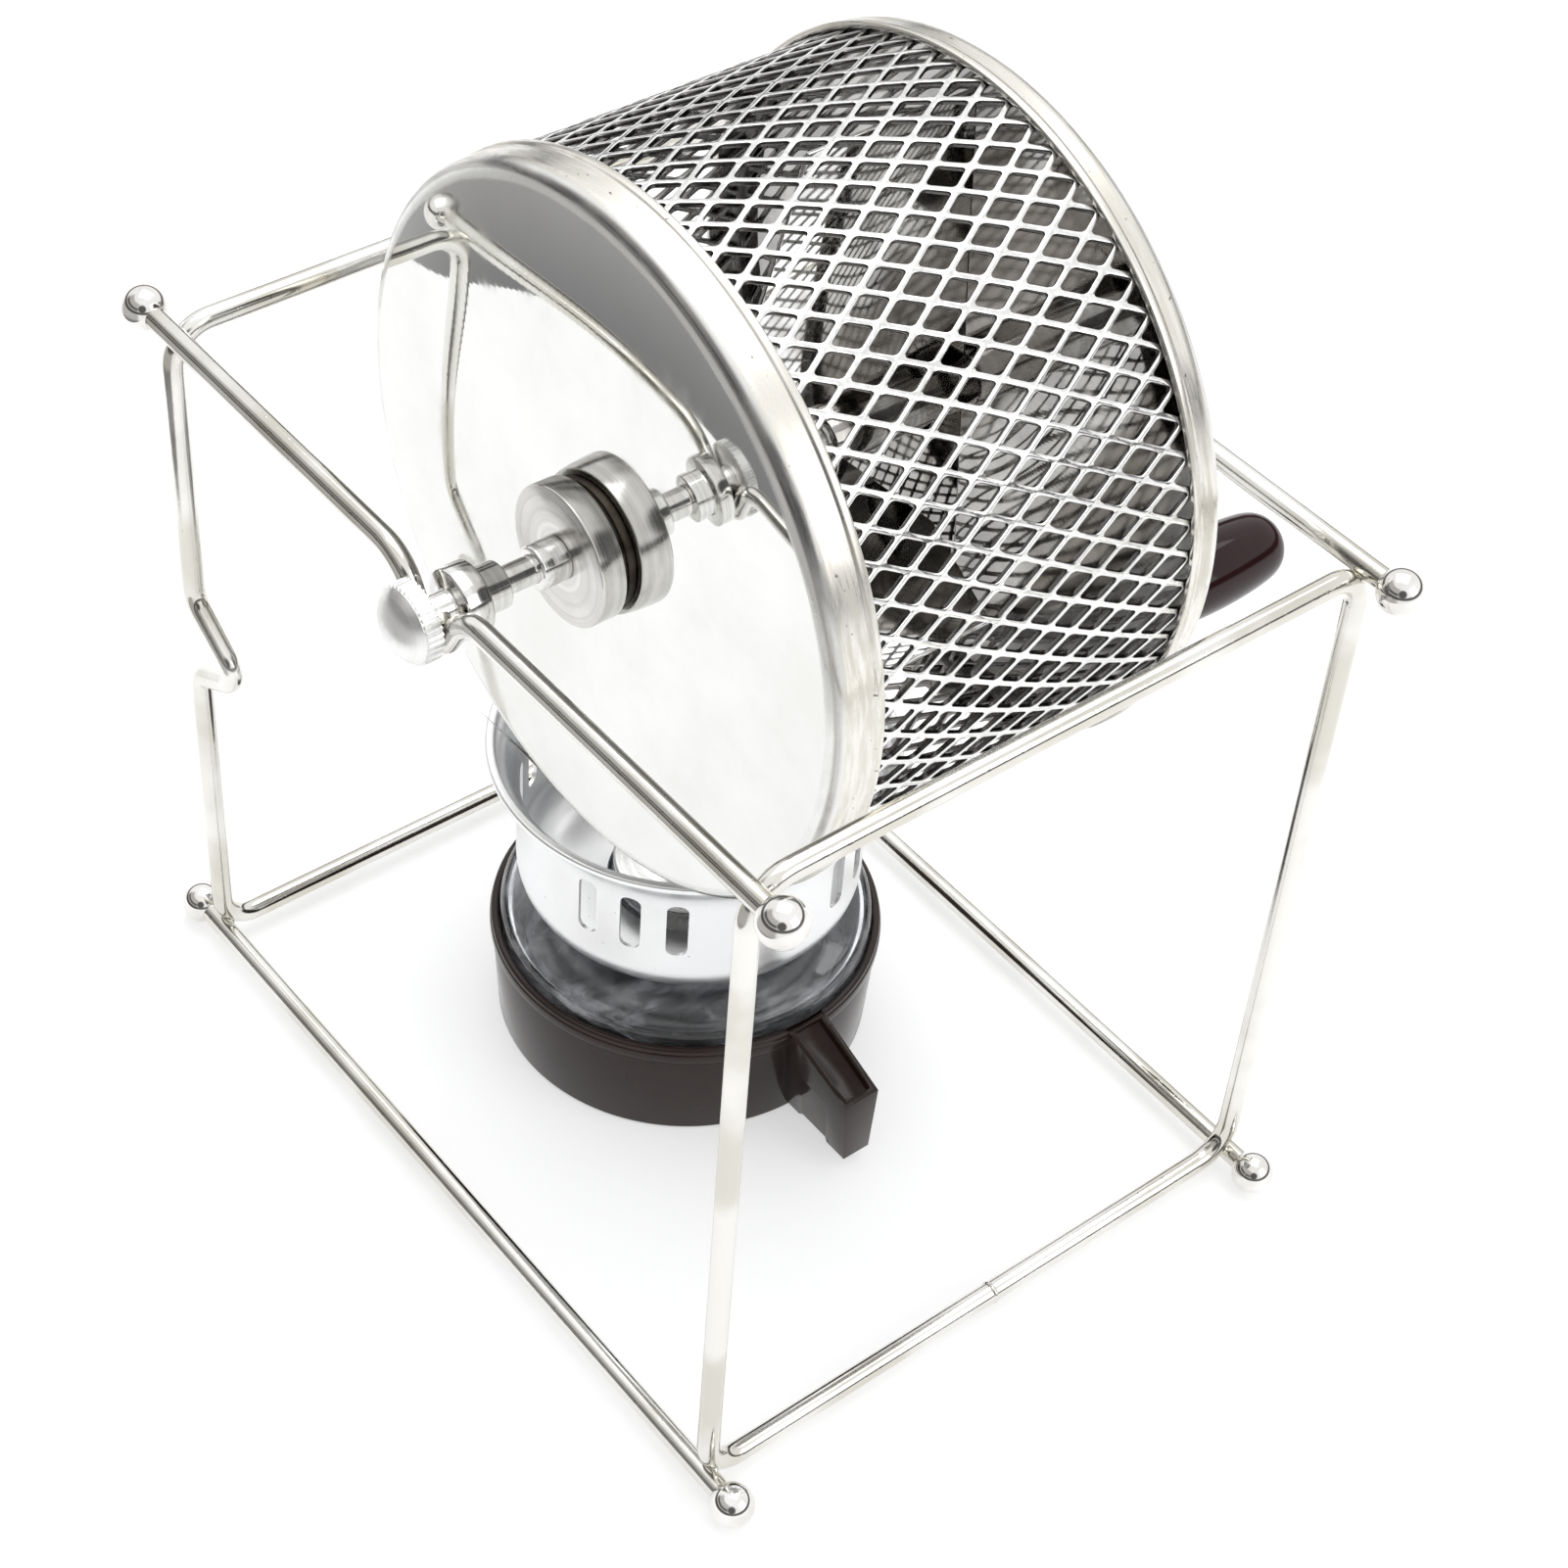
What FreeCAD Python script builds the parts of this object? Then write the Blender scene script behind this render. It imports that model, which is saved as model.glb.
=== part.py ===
"""Stovetop coffee bean roaster: a wire stand, a hand-cranked mesh drum and a spirit burner.

Millimetres. X runs along the rails to the right, Y from the knob at the front to the crank at the
rear, Z up. The origin is on the floor, midway between the side loops and midway between the front
and rear rails, straight below the drum's axis.
"""
import FreeCAD, Part
import math
import os

# Flats that stand for round forms
wire_sides = 12
turned_sides = 24         # small turned pieces
wide_sides = 40           # drum caps, burner base, glass and windshield
ball_bands = 5            # from a ball's socket to its end
dome_bands = 3            # from the edge of a domed end to its middle
bend_step = 20.0          # turn of each mitre in a bent wire, in degrees
edge_step = 45.0          # turn of each flat on a rounded edge, in degrees
sewing_gap = 1e-6

# Wire stand
wire_d = 4.3              # wire of the rails and side loops
ball_d = 8.8              # ball on each rail end
rail_overhang = 8.5       # side loop to the middle of the ball
weld_depth = 0.4          # of a side loop's corner into each rail
bend_radius = 8.0         # corners of the side loops
saddle_drop = 6.0         # drum axis below the top rails
saddle_flare = 30.0       # lean of the saddle's sides, in degrees
saddle_shoulder = 10.0    # bend from rail to saddle
neck_gap = 0.08           # drum neck in its saddle

# Room that the stand leaves round the drum
side_room = 16.9          # drum to the middle of each side loop
front_room = 32.0         # front rail to the front cap
rear_room = 17.3          # rear cap to the rear rail
drum_clearance = 12.9     # windshield's rim to the drum

# Pouring rest bent into the left loop's front leg
rest_height = 86.7        # of its inner end above the floor
rest_rise = 11.2          # inner end to the upper bend
rest_fall = 9.3           # inner end to the lower bend
rest_reach = 16.5
rest_upper_bend = 6.0
rest_inner_bend = 4.2
rest_lower_bend = 3.5

# Drum
drum_d = 139.2
drum_length = 86.9        # over both cap faces
cap_sheet = 0.8
front_cap_depth = 9.8
rear_cap_depth = 7.8
cap_shoulder = 2.0
cap_hem = 0.45            # raised hem at the edge of each cap
hem_width = 2.0
mesh_gap = 0.35           # mesh inside the cap skirts
mesh_sheet = 1.3
mesh_around = 28          # openings round the drum
mesh_pitch = 23.0         # length of one opening with its strand
mesh_strand = 2.2
mesh_band = 5.5           # plain edge under each cap
fill_hole_d = 21.0

# Shaft and what is turned on it
shaft_d = 8.0
stub_d = 5.3
neck_d = 6.2
neck_play = 1.2           # neck longer than the wire it runs on
knob_play = 0.15          # front rail to the knob
collar_d = 13.4
collar_length = 5.0
collar_round = 1.2
sleeve_d = 8.8
sleeve_length = 5.3
hub_d = 8.4
hub_length = 5.7
hub_chamfer = 0.8
plug_d = 26.8
plug_length = 5.0
ring_d = 24.4
ring_thickness = 1.1
edge_round = 0.5          # outer edges of the plug and the wick
spigot_gap = 0.3
spigot_length = 2.2
running_gap = 0.06
knob_d = 15.0
knurl_width = 3.9
knurl_depth = 0.45
knurl_teeth = 38
knob_dome = 3.2

# Stirring blades
blade_sheet = 1.0
blade_tip_gap = 9.6       # blade tip to the drum's outside
blade_corner = 11.0       # taken off each outer corner along the shaft
blade_end_gap = 0.5       # blade root to the other pair's sleeve
blade_sleeve_d = 11.0
blade_sleeve_length = 34.0
blade_angle = 5.0         # front blades, in degrees; the rear pair stands square to them
blade_lap = 0.3           # blade root to the shaft

# Crank
flange_d = 22.0
flange_thickness = 2.5
boss_d = 14.0
boss_length = 4.6
crank_radius = 60.0
crank_angle = -66.0       # of the arm from +X, in degrees
crank_thickness = 3.0
crank_hub_d = 15.0
crank_tip_d = 11.0
nut_width = 10.0
nut_height = 4.0
spindle_d = 5.0
spindle_length = 34.0     # behind the crank arm
grip_gap = 0.3
grip_length = 42.0
grip_root_d = 12.4
grip_flare_d = 15.7
grip_flare = 9.9          # crank end to the flare
grip_d = 17.2
grip_swell = 22.0         # crank end to the widest place
grip_tip_d = 15.6
grip_round = 6.5

# Spirit burner
burner_x = -17.5
burner_y = 5.0
base_d = 83.0
base_height = 26.1
base_draft = 1.3          # foot narrower than the top of the body, all round
base_wall = 1.9
base_floor = 2.6
base_foot = 2.0
base_foot_width = 5.0
base_foot_round = 1.0
base_rim = 4.0            # height of the raised band at the top
base_rim_round = 0.6
base_step = 0.5
handle_length = 18.2      # beyond the rim
handle_width = 9.3        # at the height of the rim
handle_draft = 3.2        # lean of its sides, in degrees
handle_drop = 6.1         # slope of its top, from the rim to the tip
handle_underside = 4.2
handle_tip_bottom = 3.2
handle_tip_length = 5.7
handle_tip_slope = 0.6
handle_edge = 1.0
handle_pocket = 1.4
handle_border = 1.3
handle_web = 4.4          # length of the thinner web at its root
handle_web_bottom = 2.4
handle_web_height = 13.0
handle_web_inset = 1.8    # from the top's edge to the web's side
handle_web_slope = 1.6    # from the web's bottom up to the underside
glass_gap = 0.3
glass_wall = 2.0
glass_show = 4.4          # straight side above the base's rim
glass_round = 4.0
glass_bottom_round = 5.0
shoulder_rise = 4.4
glass_neck_d = 31.0
glass_neck_rise = 5.0
shield_d = 72.0
shield_height = 39.3
shield_round = 6.0
shield_flare = 9.4        # height of the flare and its rolled edge
shield_waist = 0.62       # of the flare's height, where it leans out further
shield_rim_d = 84.6
shield_sheet = 0.8
shield_bead = 2.0         # rolled edge, across and high
shield_seat = 0.3         # windshield above the glass
shield_hole_gap = 1.0
slot_width = 4.4
slot_length = 14.0
slot_corner = 1.8
slot_rise = 13.9          # windshield's bottom to its slots
slot_step = 15.3          # degrees between the slots of one group
slot_groups = 4
slots_per_group = 3
slot_heading = -57.0      # middle slot of the first group, in degrees
wick_cap_lip = 0.3        # wick cap beyond the glass neck
wick_cap_thickness = 1.2
wick_tube_d = 12.0
wick_tube_wall = 0.8
wick_tube_height = 9.0
wick_height = 3.5         # of wick above its tube
wick_lift = 1.0           # of wick above the glass floor

# Places on the burner
base_inside = base_foot + base_floor
glass_d = base_d - 2 * (base_wall + glass_gap)
glass_top = base_height + glass_show
glass_shoulder = glass_top + shoulder_rise
glass_neck_top = glass_shoulder + glass_neck_rise
wick_cap_d = glass_neck_d + 2 * wick_cap_lip
shield_hole_d = wick_cap_d + 2 * shield_hole_gap
shoulder_slope = shoulder_rise / (glass_d - glass_neck_d)
shield_bottom = glass_shoulder - shoulder_slope * (shield_hole_d - glass_neck_d) + shield_seat
shield_top = shield_bottom + shield_height
shield_straight = shield_top - shield_flare
slot_bottom = shield_bottom + slot_rise
slot_top = slot_bottom + slot_length

# Places on the stand
loop_spacing = drum_d + 2 * side_room
rail_length = loop_spacing + 2 * rail_overhang
rail_y = (front_room + drum_length + rear_room) / 2
floor_rail_z = ball_d / 2
axis_z = shield_top + drum_clearance + drum_d / 2
top_rail_z = axis_z + saddle_drop
loop_inset = (bend_radius + wire_d - weld_depth) / math.sqrt(2) - bend_radius
neck_length = wire_d + neck_play

# Places along the drum's axis, from the knob to the crank nut
knob_rear = -rail_y - wire_d / 2 - knob_play
neck_rear = knob_rear + neck_length
collar_rear = neck_rear + collar_length
sleeve_rear = collar_rear + sleeve_length
drum_front = front_room - rail_y
drum_rear = drum_front + drum_length
ring_front = drum_front - ring_thickness
plug_front = ring_front - plug_length
hub_front = plug_front - hub_length
blades_front = drum_front + cap_sheet + spigot_length
blades_rear = drum_rear - cap_sheet
rear_neck_front = rail_y - neck_length / 2
rear_neck_rear = rail_y + neck_length / 2
boss_rear = rear_neck_rear + boss_length
crank_rear = boss_rear + crank_thickness


def vec(x, y, z):
    return FreeCAD.Vector(x, y, z)


def eased(points, radii, step):
    """The corner points of a path, with each rounded corner turned in equal steps on its arc."""
    points = [vec(*p) for p in points]
    path = []
    for i, point in enumerate(points):
        if i not in radii:
            path.append(point)
            continue
        back = (points[i - 1] - point).normalize()
        ahead = (points[(i + 1) % len(points)] - point).normalize()
        turn = math.pi - back.getAngle(ahead)
        count = max(2, round(math.degrees(turn) / step))
        inward = (back + ahead).normalize()
        across = (ahead - back).normalize()
        centre = point + inward * (radii[i] / math.cos(turn / 2))
        reach = radii[i] / math.cos(turn / count / 2)
        for k in range(count):
            swing = turn * ((k + 0.5) / count - 0.5)
            bend = across * math.sin(swing) - inward * math.cos(swing)
            path.append(centre + bend * reach)
    return path


def flat(points):
    return Part.Face(Part.makePolygon(points + points[:1]))


def closed_solid(faces):
    shell = Part.Shell(faces)
    shell.sewShape()
    solid = Part.Solid(shell)
    solid.fix(sewing_gap, sewing_gap, sewing_gap)
    if solid.Volume < 0:
        solid.reverse()
    return solid


def section(centre, heading, radius):
    """Corners of the wire's many-sided section, square to its heading."""
    side = heading.cross(vec(0, 0, 1) if abs(heading.z) < 0.9 else vec(1, 0, 0)).normalize()
    up = side.cross(heading).normalize()
    turns = [2 * math.pi * k / wire_sides for k in range(wire_sides)]
    return [centre + up * (radius * math.cos(t)) + side * (radius * math.sin(t)) for t in turns]


def bent_wire(points, radii, closed=False):
    """Wire along a path, mitred where each bend steps round; a closed path joins its own start."""
    path = eased(points, radii, bend_step)
    if closed:
        path.append(path[0])
    rings = [section(path[0], (path[1] - path[0]).normalize(), wire_d / 2)]
    for i in range(1, len(path)):
        heading = (path[i] - path[i - 1]).normalize()
        onward = heading if i == len(path) - 1 else (path[i + 1] - path[i]).normalize()
        mitre = heading + onward
        rings.append([p + heading * ((path[i] - p).dot(mitre) / heading.dot(mitre)) for p in rings[-1]])
    if closed:
        rings[-1] = rings[0]
    faces = [] if closed else [flat(rings[0]), flat(rings[-1])]
    for near, far in zip(rings, rings[1:]):
        for k in range(wire_sides):
            j = (k + 1) % wire_sides
            faces.append(flat([near[k], near[j], far[j], far[k]]))
    return closed_solid(faces)


def turned(profile, radii, centre, upright, sides=turned_sides):
    """Profile turned about an axis, in flats; it holds (radius, place along the axis) pairs."""
    turns = [2 * math.pi * k / sides for k in range(sides)]

    def ring(radius, along):
        flats = [(radius * math.cos(t), radius * math.sin(t)) for t in turns]
        if upright:
            return [vec(centre.x + a, centre.y + b, along) for a, b in flats]
        return [vec(centre.x + a, along, centre.z + b) for a, b in flats]

    points = eased([(r, t, 0) for r, t in profile], radii, edge_step)
    faces = []
    for near, far in zip(points, points[1:] + points[:1]):
        inner, outer = sorted((near, far), key=lambda point: point.x)
        if outer.x < sewing_gap:
            continue
        ends = [ring(point.x, point.y) for point in (inner, outer)]
        if abs(near.y - far.y) < sewing_gap:
            edges = [Part.makePolygon(end + end[:1]) for end in ends[inner.x < sewing_gap:]]
            faces.append(Part.Face(edges[::-1]))
            continue
        for k in range(sides):
            j = (k + 1) % sides
            side = [ends[0][k], ends[1][k], ends[1][j]] + ([ends[0][j]] if inner.x > sewing_gap else [])
            faces.append(flat(side))
    return closed_solid(faces)


def dome(radius, base, height):
    """Profile points that round off a turned end, from its edge to its middle."""
    turns = [math.pi / 2 * k / dome_bands for k in range(1, dome_bands)]
    return [(radius * math.cos(t), base + height * math.sin(t)) for t in turns] + [(0, base + height)]


def on_drum(profile, radii=None, sides=turned_sides):
    return turned(profile, radii or {}, vec(0, 0, axis_z), False, sides)


def on_burner(profile, radii=None, sides=wide_sides):
    return turned(profile, radii or {}, vec(burner_x, burner_y, 0), True, sides)


def along_y(radius, start, end, x=0.0, z=None):
    z = axis_z if z is None else z
    return Part.makeCylinder(radius, end - start, vec(x, start, z), vec(0, 1, 0))


# Wire stand

def side_loop(x, inward=0):
    """Rounded rectangle of wire; the left one has the pouring rest in its front leg."""
    low = floor_rail_z + loop_inset
    high = top_rail_z - loop_inset
    leg = rail_y - loop_inset
    points = [(x, 0, low), (x, -leg, low)]
    radii = {1: bend_radius}
    if inward:
        points += [(x, -leg, rest_height - rest_fall), (x + inward * rest_reach, -leg, rest_height),
                   (x, -leg, rest_height + rest_rise)]
        radii.update({2: rest_lower_bend, 3: rest_inner_bend, 4: rest_upper_bend})
    for corner in [(x, -leg, high), (x, leg, high), (x, leg, low)]:
        radii[len(points)] = bend_radius
        points.append(corner)
    return bent_wire(points, radii, closed=True)


def bottom_rail(y):
    half = rail_length / 2
    return bent_wire([(-half, y, floor_rail_z), (half, y, floor_rail_z)], {})


def top_rail(y):
    """Rail with the saddle that carries a neck of the drum shaft."""
    lean = math.radians(saddle_flare)
    seat = neck_d / 2 + neck_gap + wire_d / 2
    bottom = axis_z - seat / math.sin(lean)
    spread = (top_rail_z - bottom) * math.tan(lean)
    half = rail_length / 2
    points = [(-half, y, top_rail_z), (-spread, y, top_rail_z), (0, y, bottom),
              (spread, y, top_rail_z), (half, y, top_rail_z)]
    return bent_wire(points, {1: saddle_shoulder, 2: seat, 3: saddle_shoulder})


def rail_ball(side, y, z):
    """Ball with a blind socket on its rail's end."""
    centre = vec(side * rail_length / 2, y, z)
    mouth = -math.sqrt(ball_d ** 2 - wire_d ** 2) / 2
    slant = math.acos(mouth / (ball_d / 2))
    bands = [(wire_d / 2, mouth)]
    for k in range(1, ball_bands):
        turn = slant * (1 - k / ball_bands)
        bands.append((ball_d / 2 * math.sin(turn), ball_d / 2 * math.cos(turn)))
    rings = [section(centre + vec(side * t, 0, 0), vec(1, 0, 0), r) for r, t in [(wire_d / 2, 0)] + bands]
    faces = [flat(rings[0])]
    for near, far in zip(rings, rings[1:]):
        for k in range(wire_sides):
            j = (k + 1) % wire_sides
            faces.append(flat([near[k], near[j], far[j], far[k]]))
    pole = centre + vec(side * ball_d / 2, 0, 0)
    faces += [flat([rings[-1][k], rings[-1][(k + 1) % wire_sides], pole]) for k in range(wire_sides)]
    return closed_solid(faces)


def rail_balls(z):
    return Part.makeCompound([rail_ball(side, y, z) for side in (-1, 1) for y in (-rail_y, rail_y)])


# Drum

def front_cap():
    """Pressed cap with a hem at its edge and the hole that the beans go in through."""
    face, edge = drum_front, drum_front + front_cap_depth
    outer = drum_d / 2 - cap_hem
    inner = outer - cap_sheet
    hole = fill_hole_d / 2
    return on_drum([(hole, face), (outer, face), (outer, edge - hem_width),
                    (outer + cap_hem, edge - hem_width + cap_hem), (outer + cap_hem, edge),
                    (inner, edge), (inner, face + cap_sheet), (hole, face + cap_sheet)],
                   {1: cap_shoulder}, wide_sides)


def rear_cap():
    face, edge = drum_rear, drum_rear - rear_cap_depth
    outer = drum_d / 2 - cap_hem
    inner = outer - cap_sheet
    hole = shaft_d / 2
    return on_drum([(hole, face), (outer, face), (outer, edge + hem_width),
                    (outer + cap_hem, edge + hem_width - cap_hem), (outer + cap_hem, edge),
                    (inner, edge), (inner, face - cap_sheet), (hole, face - cap_sheet)],
                   {1: cap_shoulder}, wide_sides)


def drum_mesh():
    """Expanded metal rolled to a tube: a facet between each two rows of diamond openings."""
    outer = drum_d / 2 - cap_hem - cap_sheet - mesh_gap
    inner = outer - mesh_sheet
    start = drum_front + cap_shoulder
    end = drum_rear - cap_shoulder
    rows = 2 * mesh_around
    open_length = end - start - 2 * mesh_band
    count = max(1, round(open_length / mesh_pitch))
    pitch = open_length / count
    facet = 2 * outer * math.sin(math.pi / rows)
    span = pitch / 2 * facet / math.hypot(pitch / 2, facet)
    share = 1 - mesh_strand / 2 / span
    reach = pitch / 2 * share
    shrink = inner / outer

    def ray(row, radius):
        turn = 2 * math.pi * row / rows
        return vec(radius * math.cos(turn), 0, radius * math.sin(turn))

    def place(row, toward, part, radius, y):
        flat = ray(row, radius) * (1 - part) + ray(toward, radius) * part
        return vec(flat.x, y, axis_z + flat.z)

    def middles(row):
        first = start + mesh_band + (pitch / 2 if row % 2 == 0 else pitch)
        return [first + pitch * i for i in range(count if row % 2 == 0 else count - 1)]

    def side(row, toward, radius):
        part = share * outer / radius
        points = []
        for y in middles(row):
            points += [place(row, row, 0, radius, y - reach),
                       place(row, toward, part, radius, y),
                       place(row, row, 0, radius, y + reach)]
        return [place(row, row, 0, radius, start)] + points + [place(row, row, 0, radius, end)]

    faces = []
    for row in range(rows):
        following = row + 1
        for radius in (outer, inner):
            faces.append(flat(side(row, following, radius) + side(following, row, radius)[::-1]))
        for toward in (row - 1, row + 1):
            for y in middles(row):
                for way in (-reach, reach):
                    faces.append(flat([place(row, row, 0, outer, y + way),
                                       place(row, toward, share, outer, y),
                                       place(row, toward, share / shrink, inner, y),
                                       place(row, row, 0, inner, y + way)]))
    for y in (start, end):
        rim = [Part.makePolygon([place(row, row, 0, radius, y) for row in range(rows + 1)])
               for radius in (outer, inner)]
        faces.append(Part.Face(rim))
    return closed_solid(faces)


def drum_shaft():
    """Stepped shaft: a stub to the knob, the full bar through the drum, a stub to the crank nut."""
    front = knob_rear - knurl_width
    stub = stub_d / 2
    bar = shaft_d / 2
    return on_drum([(0, front), (stub, front), (stub, blades_front), (bar, blades_front),
                    (bar, rear_neck_front - collar_length), (stub, rear_neck_front - collar_length),
                    (stub, crank_rear + nut_height), (0, crank_rear + nut_height)])


def stirring_blades(face, direction, angle):
    """Two opposite sheet blades on a sleeve, cut back at their outer corners."""
    root = shaft_d / 2 + blade_lap
    tip = drum_d / 2 - blade_tip_gap
    root_width = blades_rear - blades_front - blade_sleeve_length - blade_end_gap
    shape = on_drum([(shaft_d / 2, face), (blade_sleeve_d / 2, face),
                     (blade_sleeve_d / 2, face + direction * blade_sleeve_length),
                     (shaft_d / 2, face + direction * blade_sleeve_length)])
    for turn in (angle, angle + 180):
        outline = [(root, face), (tip, face), (tip, face + direction * (root_width - blade_corner)),
                   ((root + tip) / 2, face + direction * root_width),
                   (root, face + direction * root_width)]
        points = [vec(r, y, axis_z - blade_sheet / 2) for r, y in outline]
        blade = flat(points).extrude(vec(0, 0, blade_sheet))
        blade.rotate(vec(0, 0, axis_z), vec(0, 1, 0), -turn)
        shape = shape.fuse(blade)
    return shape.removeSplitter()


def knurled_knob():
    """Thumb nut: knurled band, domed front and a socket on the shaft's stub."""
    front = knob_rear - knurl_width
    points = []
    for i in range(2 * knurl_teeth + 1):
        radius = knob_d / 2 - (knurl_depth if i % 2 else 0)
        turn = math.pi * i / knurl_teeth
        points.append(vec(radius * math.cos(turn), front, axis_z + radius * math.sin(turn)))
    band = Part.Face(Part.makePolygon(points)).extrude(vec(0, knurl_width, 0))
    rim = knob_d / 2 - knurl_depth
    nose = on_drum([(0, front), (rim, front)] + dome(rim, front, -knob_dome))
    return band.fuse(nose).cut(along_y(stub_d / 2, front, knob_rear))


def front_neck():
    """Neck that runs in the front saddle, with its collar and sleeve."""
    bore = stub_d / 2
    return on_drum([(bore, knob_rear), (neck_d / 2, knob_rear), (neck_d / 2, neck_rear),
                    (collar_d / 2, neck_rear), (collar_d / 2, collar_rear),
                    (sleeve_d / 2, collar_rear), (sleeve_d / 2, sleeve_rear), (bore, sleeve_rear)],
                   {3: collar_round})


def rear_neck():
    """Neck that runs in the rear saddle, between its collar and the crank's boss."""
    bore = stub_d / 2
    front = rear_neck_front - collar_length
    return on_drum([(bore, front), (collar_d / 2, front), (collar_d / 2, rear_neck_front),
                    (neck_d / 2, rear_neck_front), (neck_d / 2, rear_neck_rear), (bore, rear_neck_rear)],
                   {2: collar_round})


def hole_ring():
    return on_drum([(fill_hole_d / 2, ring_front), (ring_d / 2, ring_front), (ring_d / 2, drum_front),
                    (fill_hole_d / 2, drum_front)])


def fill_plug():
    """Disc that closes the bean hole, with a spigot that centres it."""
    bore = stub_d / 2 + running_gap
    spigot = fill_hole_d / 2 - spigot_gap
    return on_drum([(bore, plug_front), (plug_d / 2, plug_front), (plug_d / 2, ring_front),
                    (spigot, ring_front), (spigot, ring_front + spigot_length),
                    (bore, ring_front + spigot_length)],
                   {1: edge_round})


def plug_hub():
    bore = stub_d / 2 + running_gap
    face = hub_d / 2 - hub_chamfer
    return on_drum([(bore, hub_front), (face, hub_front), (hub_d / 2, hub_front + hub_chamfer),
                    (hub_d / 2, plug_front), (bore, plug_front)])


def rear_flange():
    """Flange that carries the rear cap on the shaft."""
    bore = shaft_d / 2
    rear = drum_rear + flange_thickness
    return on_drum([(bore, drum_rear), (flange_d / 2, drum_rear), (flange_d / 2, rear), (bore, rear)])


def crank_boss():
    bore = stub_d / 2
    return on_drum([(bore, rear_neck_rear), (boss_d / 2, rear_neck_rear), (boss_d / 2, boss_rear),
                    (bore, boss_rear)])


def crank_end():
    turn = math.radians(crank_angle)
    return crank_radius * math.cos(turn), axis_z + crank_radius * math.sin(turn)


def crank_arm():
    """Flat bar that tapers from hub to tip, with round ends and two holes."""
    big, small = crank_hub_d / 2, crank_tip_d / 2
    lean = math.asin((big - small) / crank_radius)
    side = math.cos(lean)
    drop = math.sin(lean)

    def spot(x, z):
        return vec(x, boss_rear, z)

    a, b = spot(big * drop, big * side), spot(crank_radius + small * drop, small * side)
    c, d = spot(b.x, -b.z), spot(a.x, -a.z)
    outline = [Part.makeLine(a, b), Part.Arc(b, spot(crank_radius + small, 0), c).toShape(),
               Part.makeLine(c, d), Part.Arc(d, spot(-big, 0), a).toShape()]
    bar = Part.Face(Part.Wire(outline)).extrude(vec(0, crank_thickness, 0))
    bar.rotate(vec(0, 0, 0), vec(0, 1, 0), -crank_angle)
    bar.translate(vec(0, 0, axis_z))
    x, z = crank_end()
    bar = bar.cut(along_y(stub_d / 2, boss_rear - 1, crank_rear + 1))
    return bar.cut(along_y(spindle_d / 2, boss_rear - 1, crank_rear + 1, x, z))


def crank_nut():
    points = []
    for i in range(7):
        turn = math.radians(60 * i + crank_angle)
        radius = nut_width / 2 / math.cos(math.radians(30))
        points.append(vec(radius * math.cos(turn), crank_rear, axis_z + radius * math.sin(turn)))
    nut = Part.Face(Part.makePolygon(points)).extrude(vec(0, nut_height, 0))
    return nut.cut(along_y(stub_d / 2, crank_rear - 1, crank_rear + nut_height + 1))


def handle_spindle():
    """Pin through the crank's tip, which the grip turns on."""
    x, z = crank_end()
    return along_y(spindle_d / 2, boss_rear, crank_rear + spindle_length, x, z)


def handle_grip():
    """Turned grip, widest past its middle, with a rounded end and a blind bore."""
    x, z = crank_end()
    start = crank_rear + grip_gap
    shoulder = start + grip_length - grip_round
    bore = spindle_d / 2 + running_gap
    depth = crank_rear + spindle_length + grip_gap
    profile = [(0, depth), (bore, depth), (bore, start), (grip_root_d / 2, start),
               (grip_flare_d / 2, start + grip_flare), (grip_d / 2, start + grip_swell),
               (grip_tip_d / 2, shoulder)] + dome(grip_tip_d / 2, shoulder, grip_round)
    return turned(profile, {}, vec(x, 0, z), False)


# Spirit burner

def burner_base():
    """Moulded cup, narrower at its foot, with a raised band at its rim and a lever handle."""
    rim = base_d / 2
    body = rim - base_step
    inner = rim - base_wall
    band = base_height - base_rim
    foot = body - base_draft
    ring = foot - base_foot_width
    cup = on_burner([(0, base_foot), (ring, base_foot), (ring, 0), (foot, 0), (body, band),
                     (rim, band + base_step), (rim, base_height), (inner, base_height),
                     (inner - base_draft, base_inside), (0, base_inside)],
                    {3: base_foot_round, 6: base_rim_round})
    return cup.fuse(burner_handle(burner_x + inner + glass_gap / 3)).removeSplitter()


def burner_handle(start):
    """Lever that slopes down from the rim: drafted sides, a thin root, an open trough, a deep tip."""
    rim = burner_x + base_d / 2
    end = rim + handle_length
    step = end - handle_tip_length
    tip_top = base_height - handle_drop
    half = handle_width / 2
    web = rim + handle_web

    def across(points, width, radii=None):
        points = [(x, burner_y - width / 2, z) for x, z in points]
        return flat(eased(points, radii or {}, edge_step)).extrude(vec(0, width, 0))

    bar = across([(start, handle_web_bottom), (web - handle_web_slope, handle_web_bottom),
                  (web, handle_underside), (step - handle_tip_slope, handle_underside),
                  (step, handle_tip_bottom), (end, handle_tip_bottom), (end, tip_top),
                  (rim, base_height), (start, base_height)], handle_width, {6: handle_edge})
    lean = base_height * math.tan(math.radians(handle_draft))
    for side in (-1, 1):
        top, foot = burner_y + side * half, burner_y + side * (half - lean)
        wedge = flat([vec(start, top, base_height), vec(start, foot, 0), vec(start, top + side, 0),
                      vec(start, top + side, base_height)]).extrude(vec(end - start, 0, 0))
        hollow = Part.makeBox(web - start, half, handle_web_height,
                              vec(start, min(side, 0) * half + burner_y + side * (half - handle_web_inset),
                                  handle_web_bottom))
        bar = bar.cut(wedge).cut(hollow)
    fall = handle_drop / handle_length
    far = end - handle_border
    trough = [(rim, base_height - handle_pocket), (far, base_height - fall * (far - rim) - handle_pocket),
              (far, base_height + 1), (rim, base_height + 1)]
    return bar.cut(across(trough, handle_width - 2 * handle_border))


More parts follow.
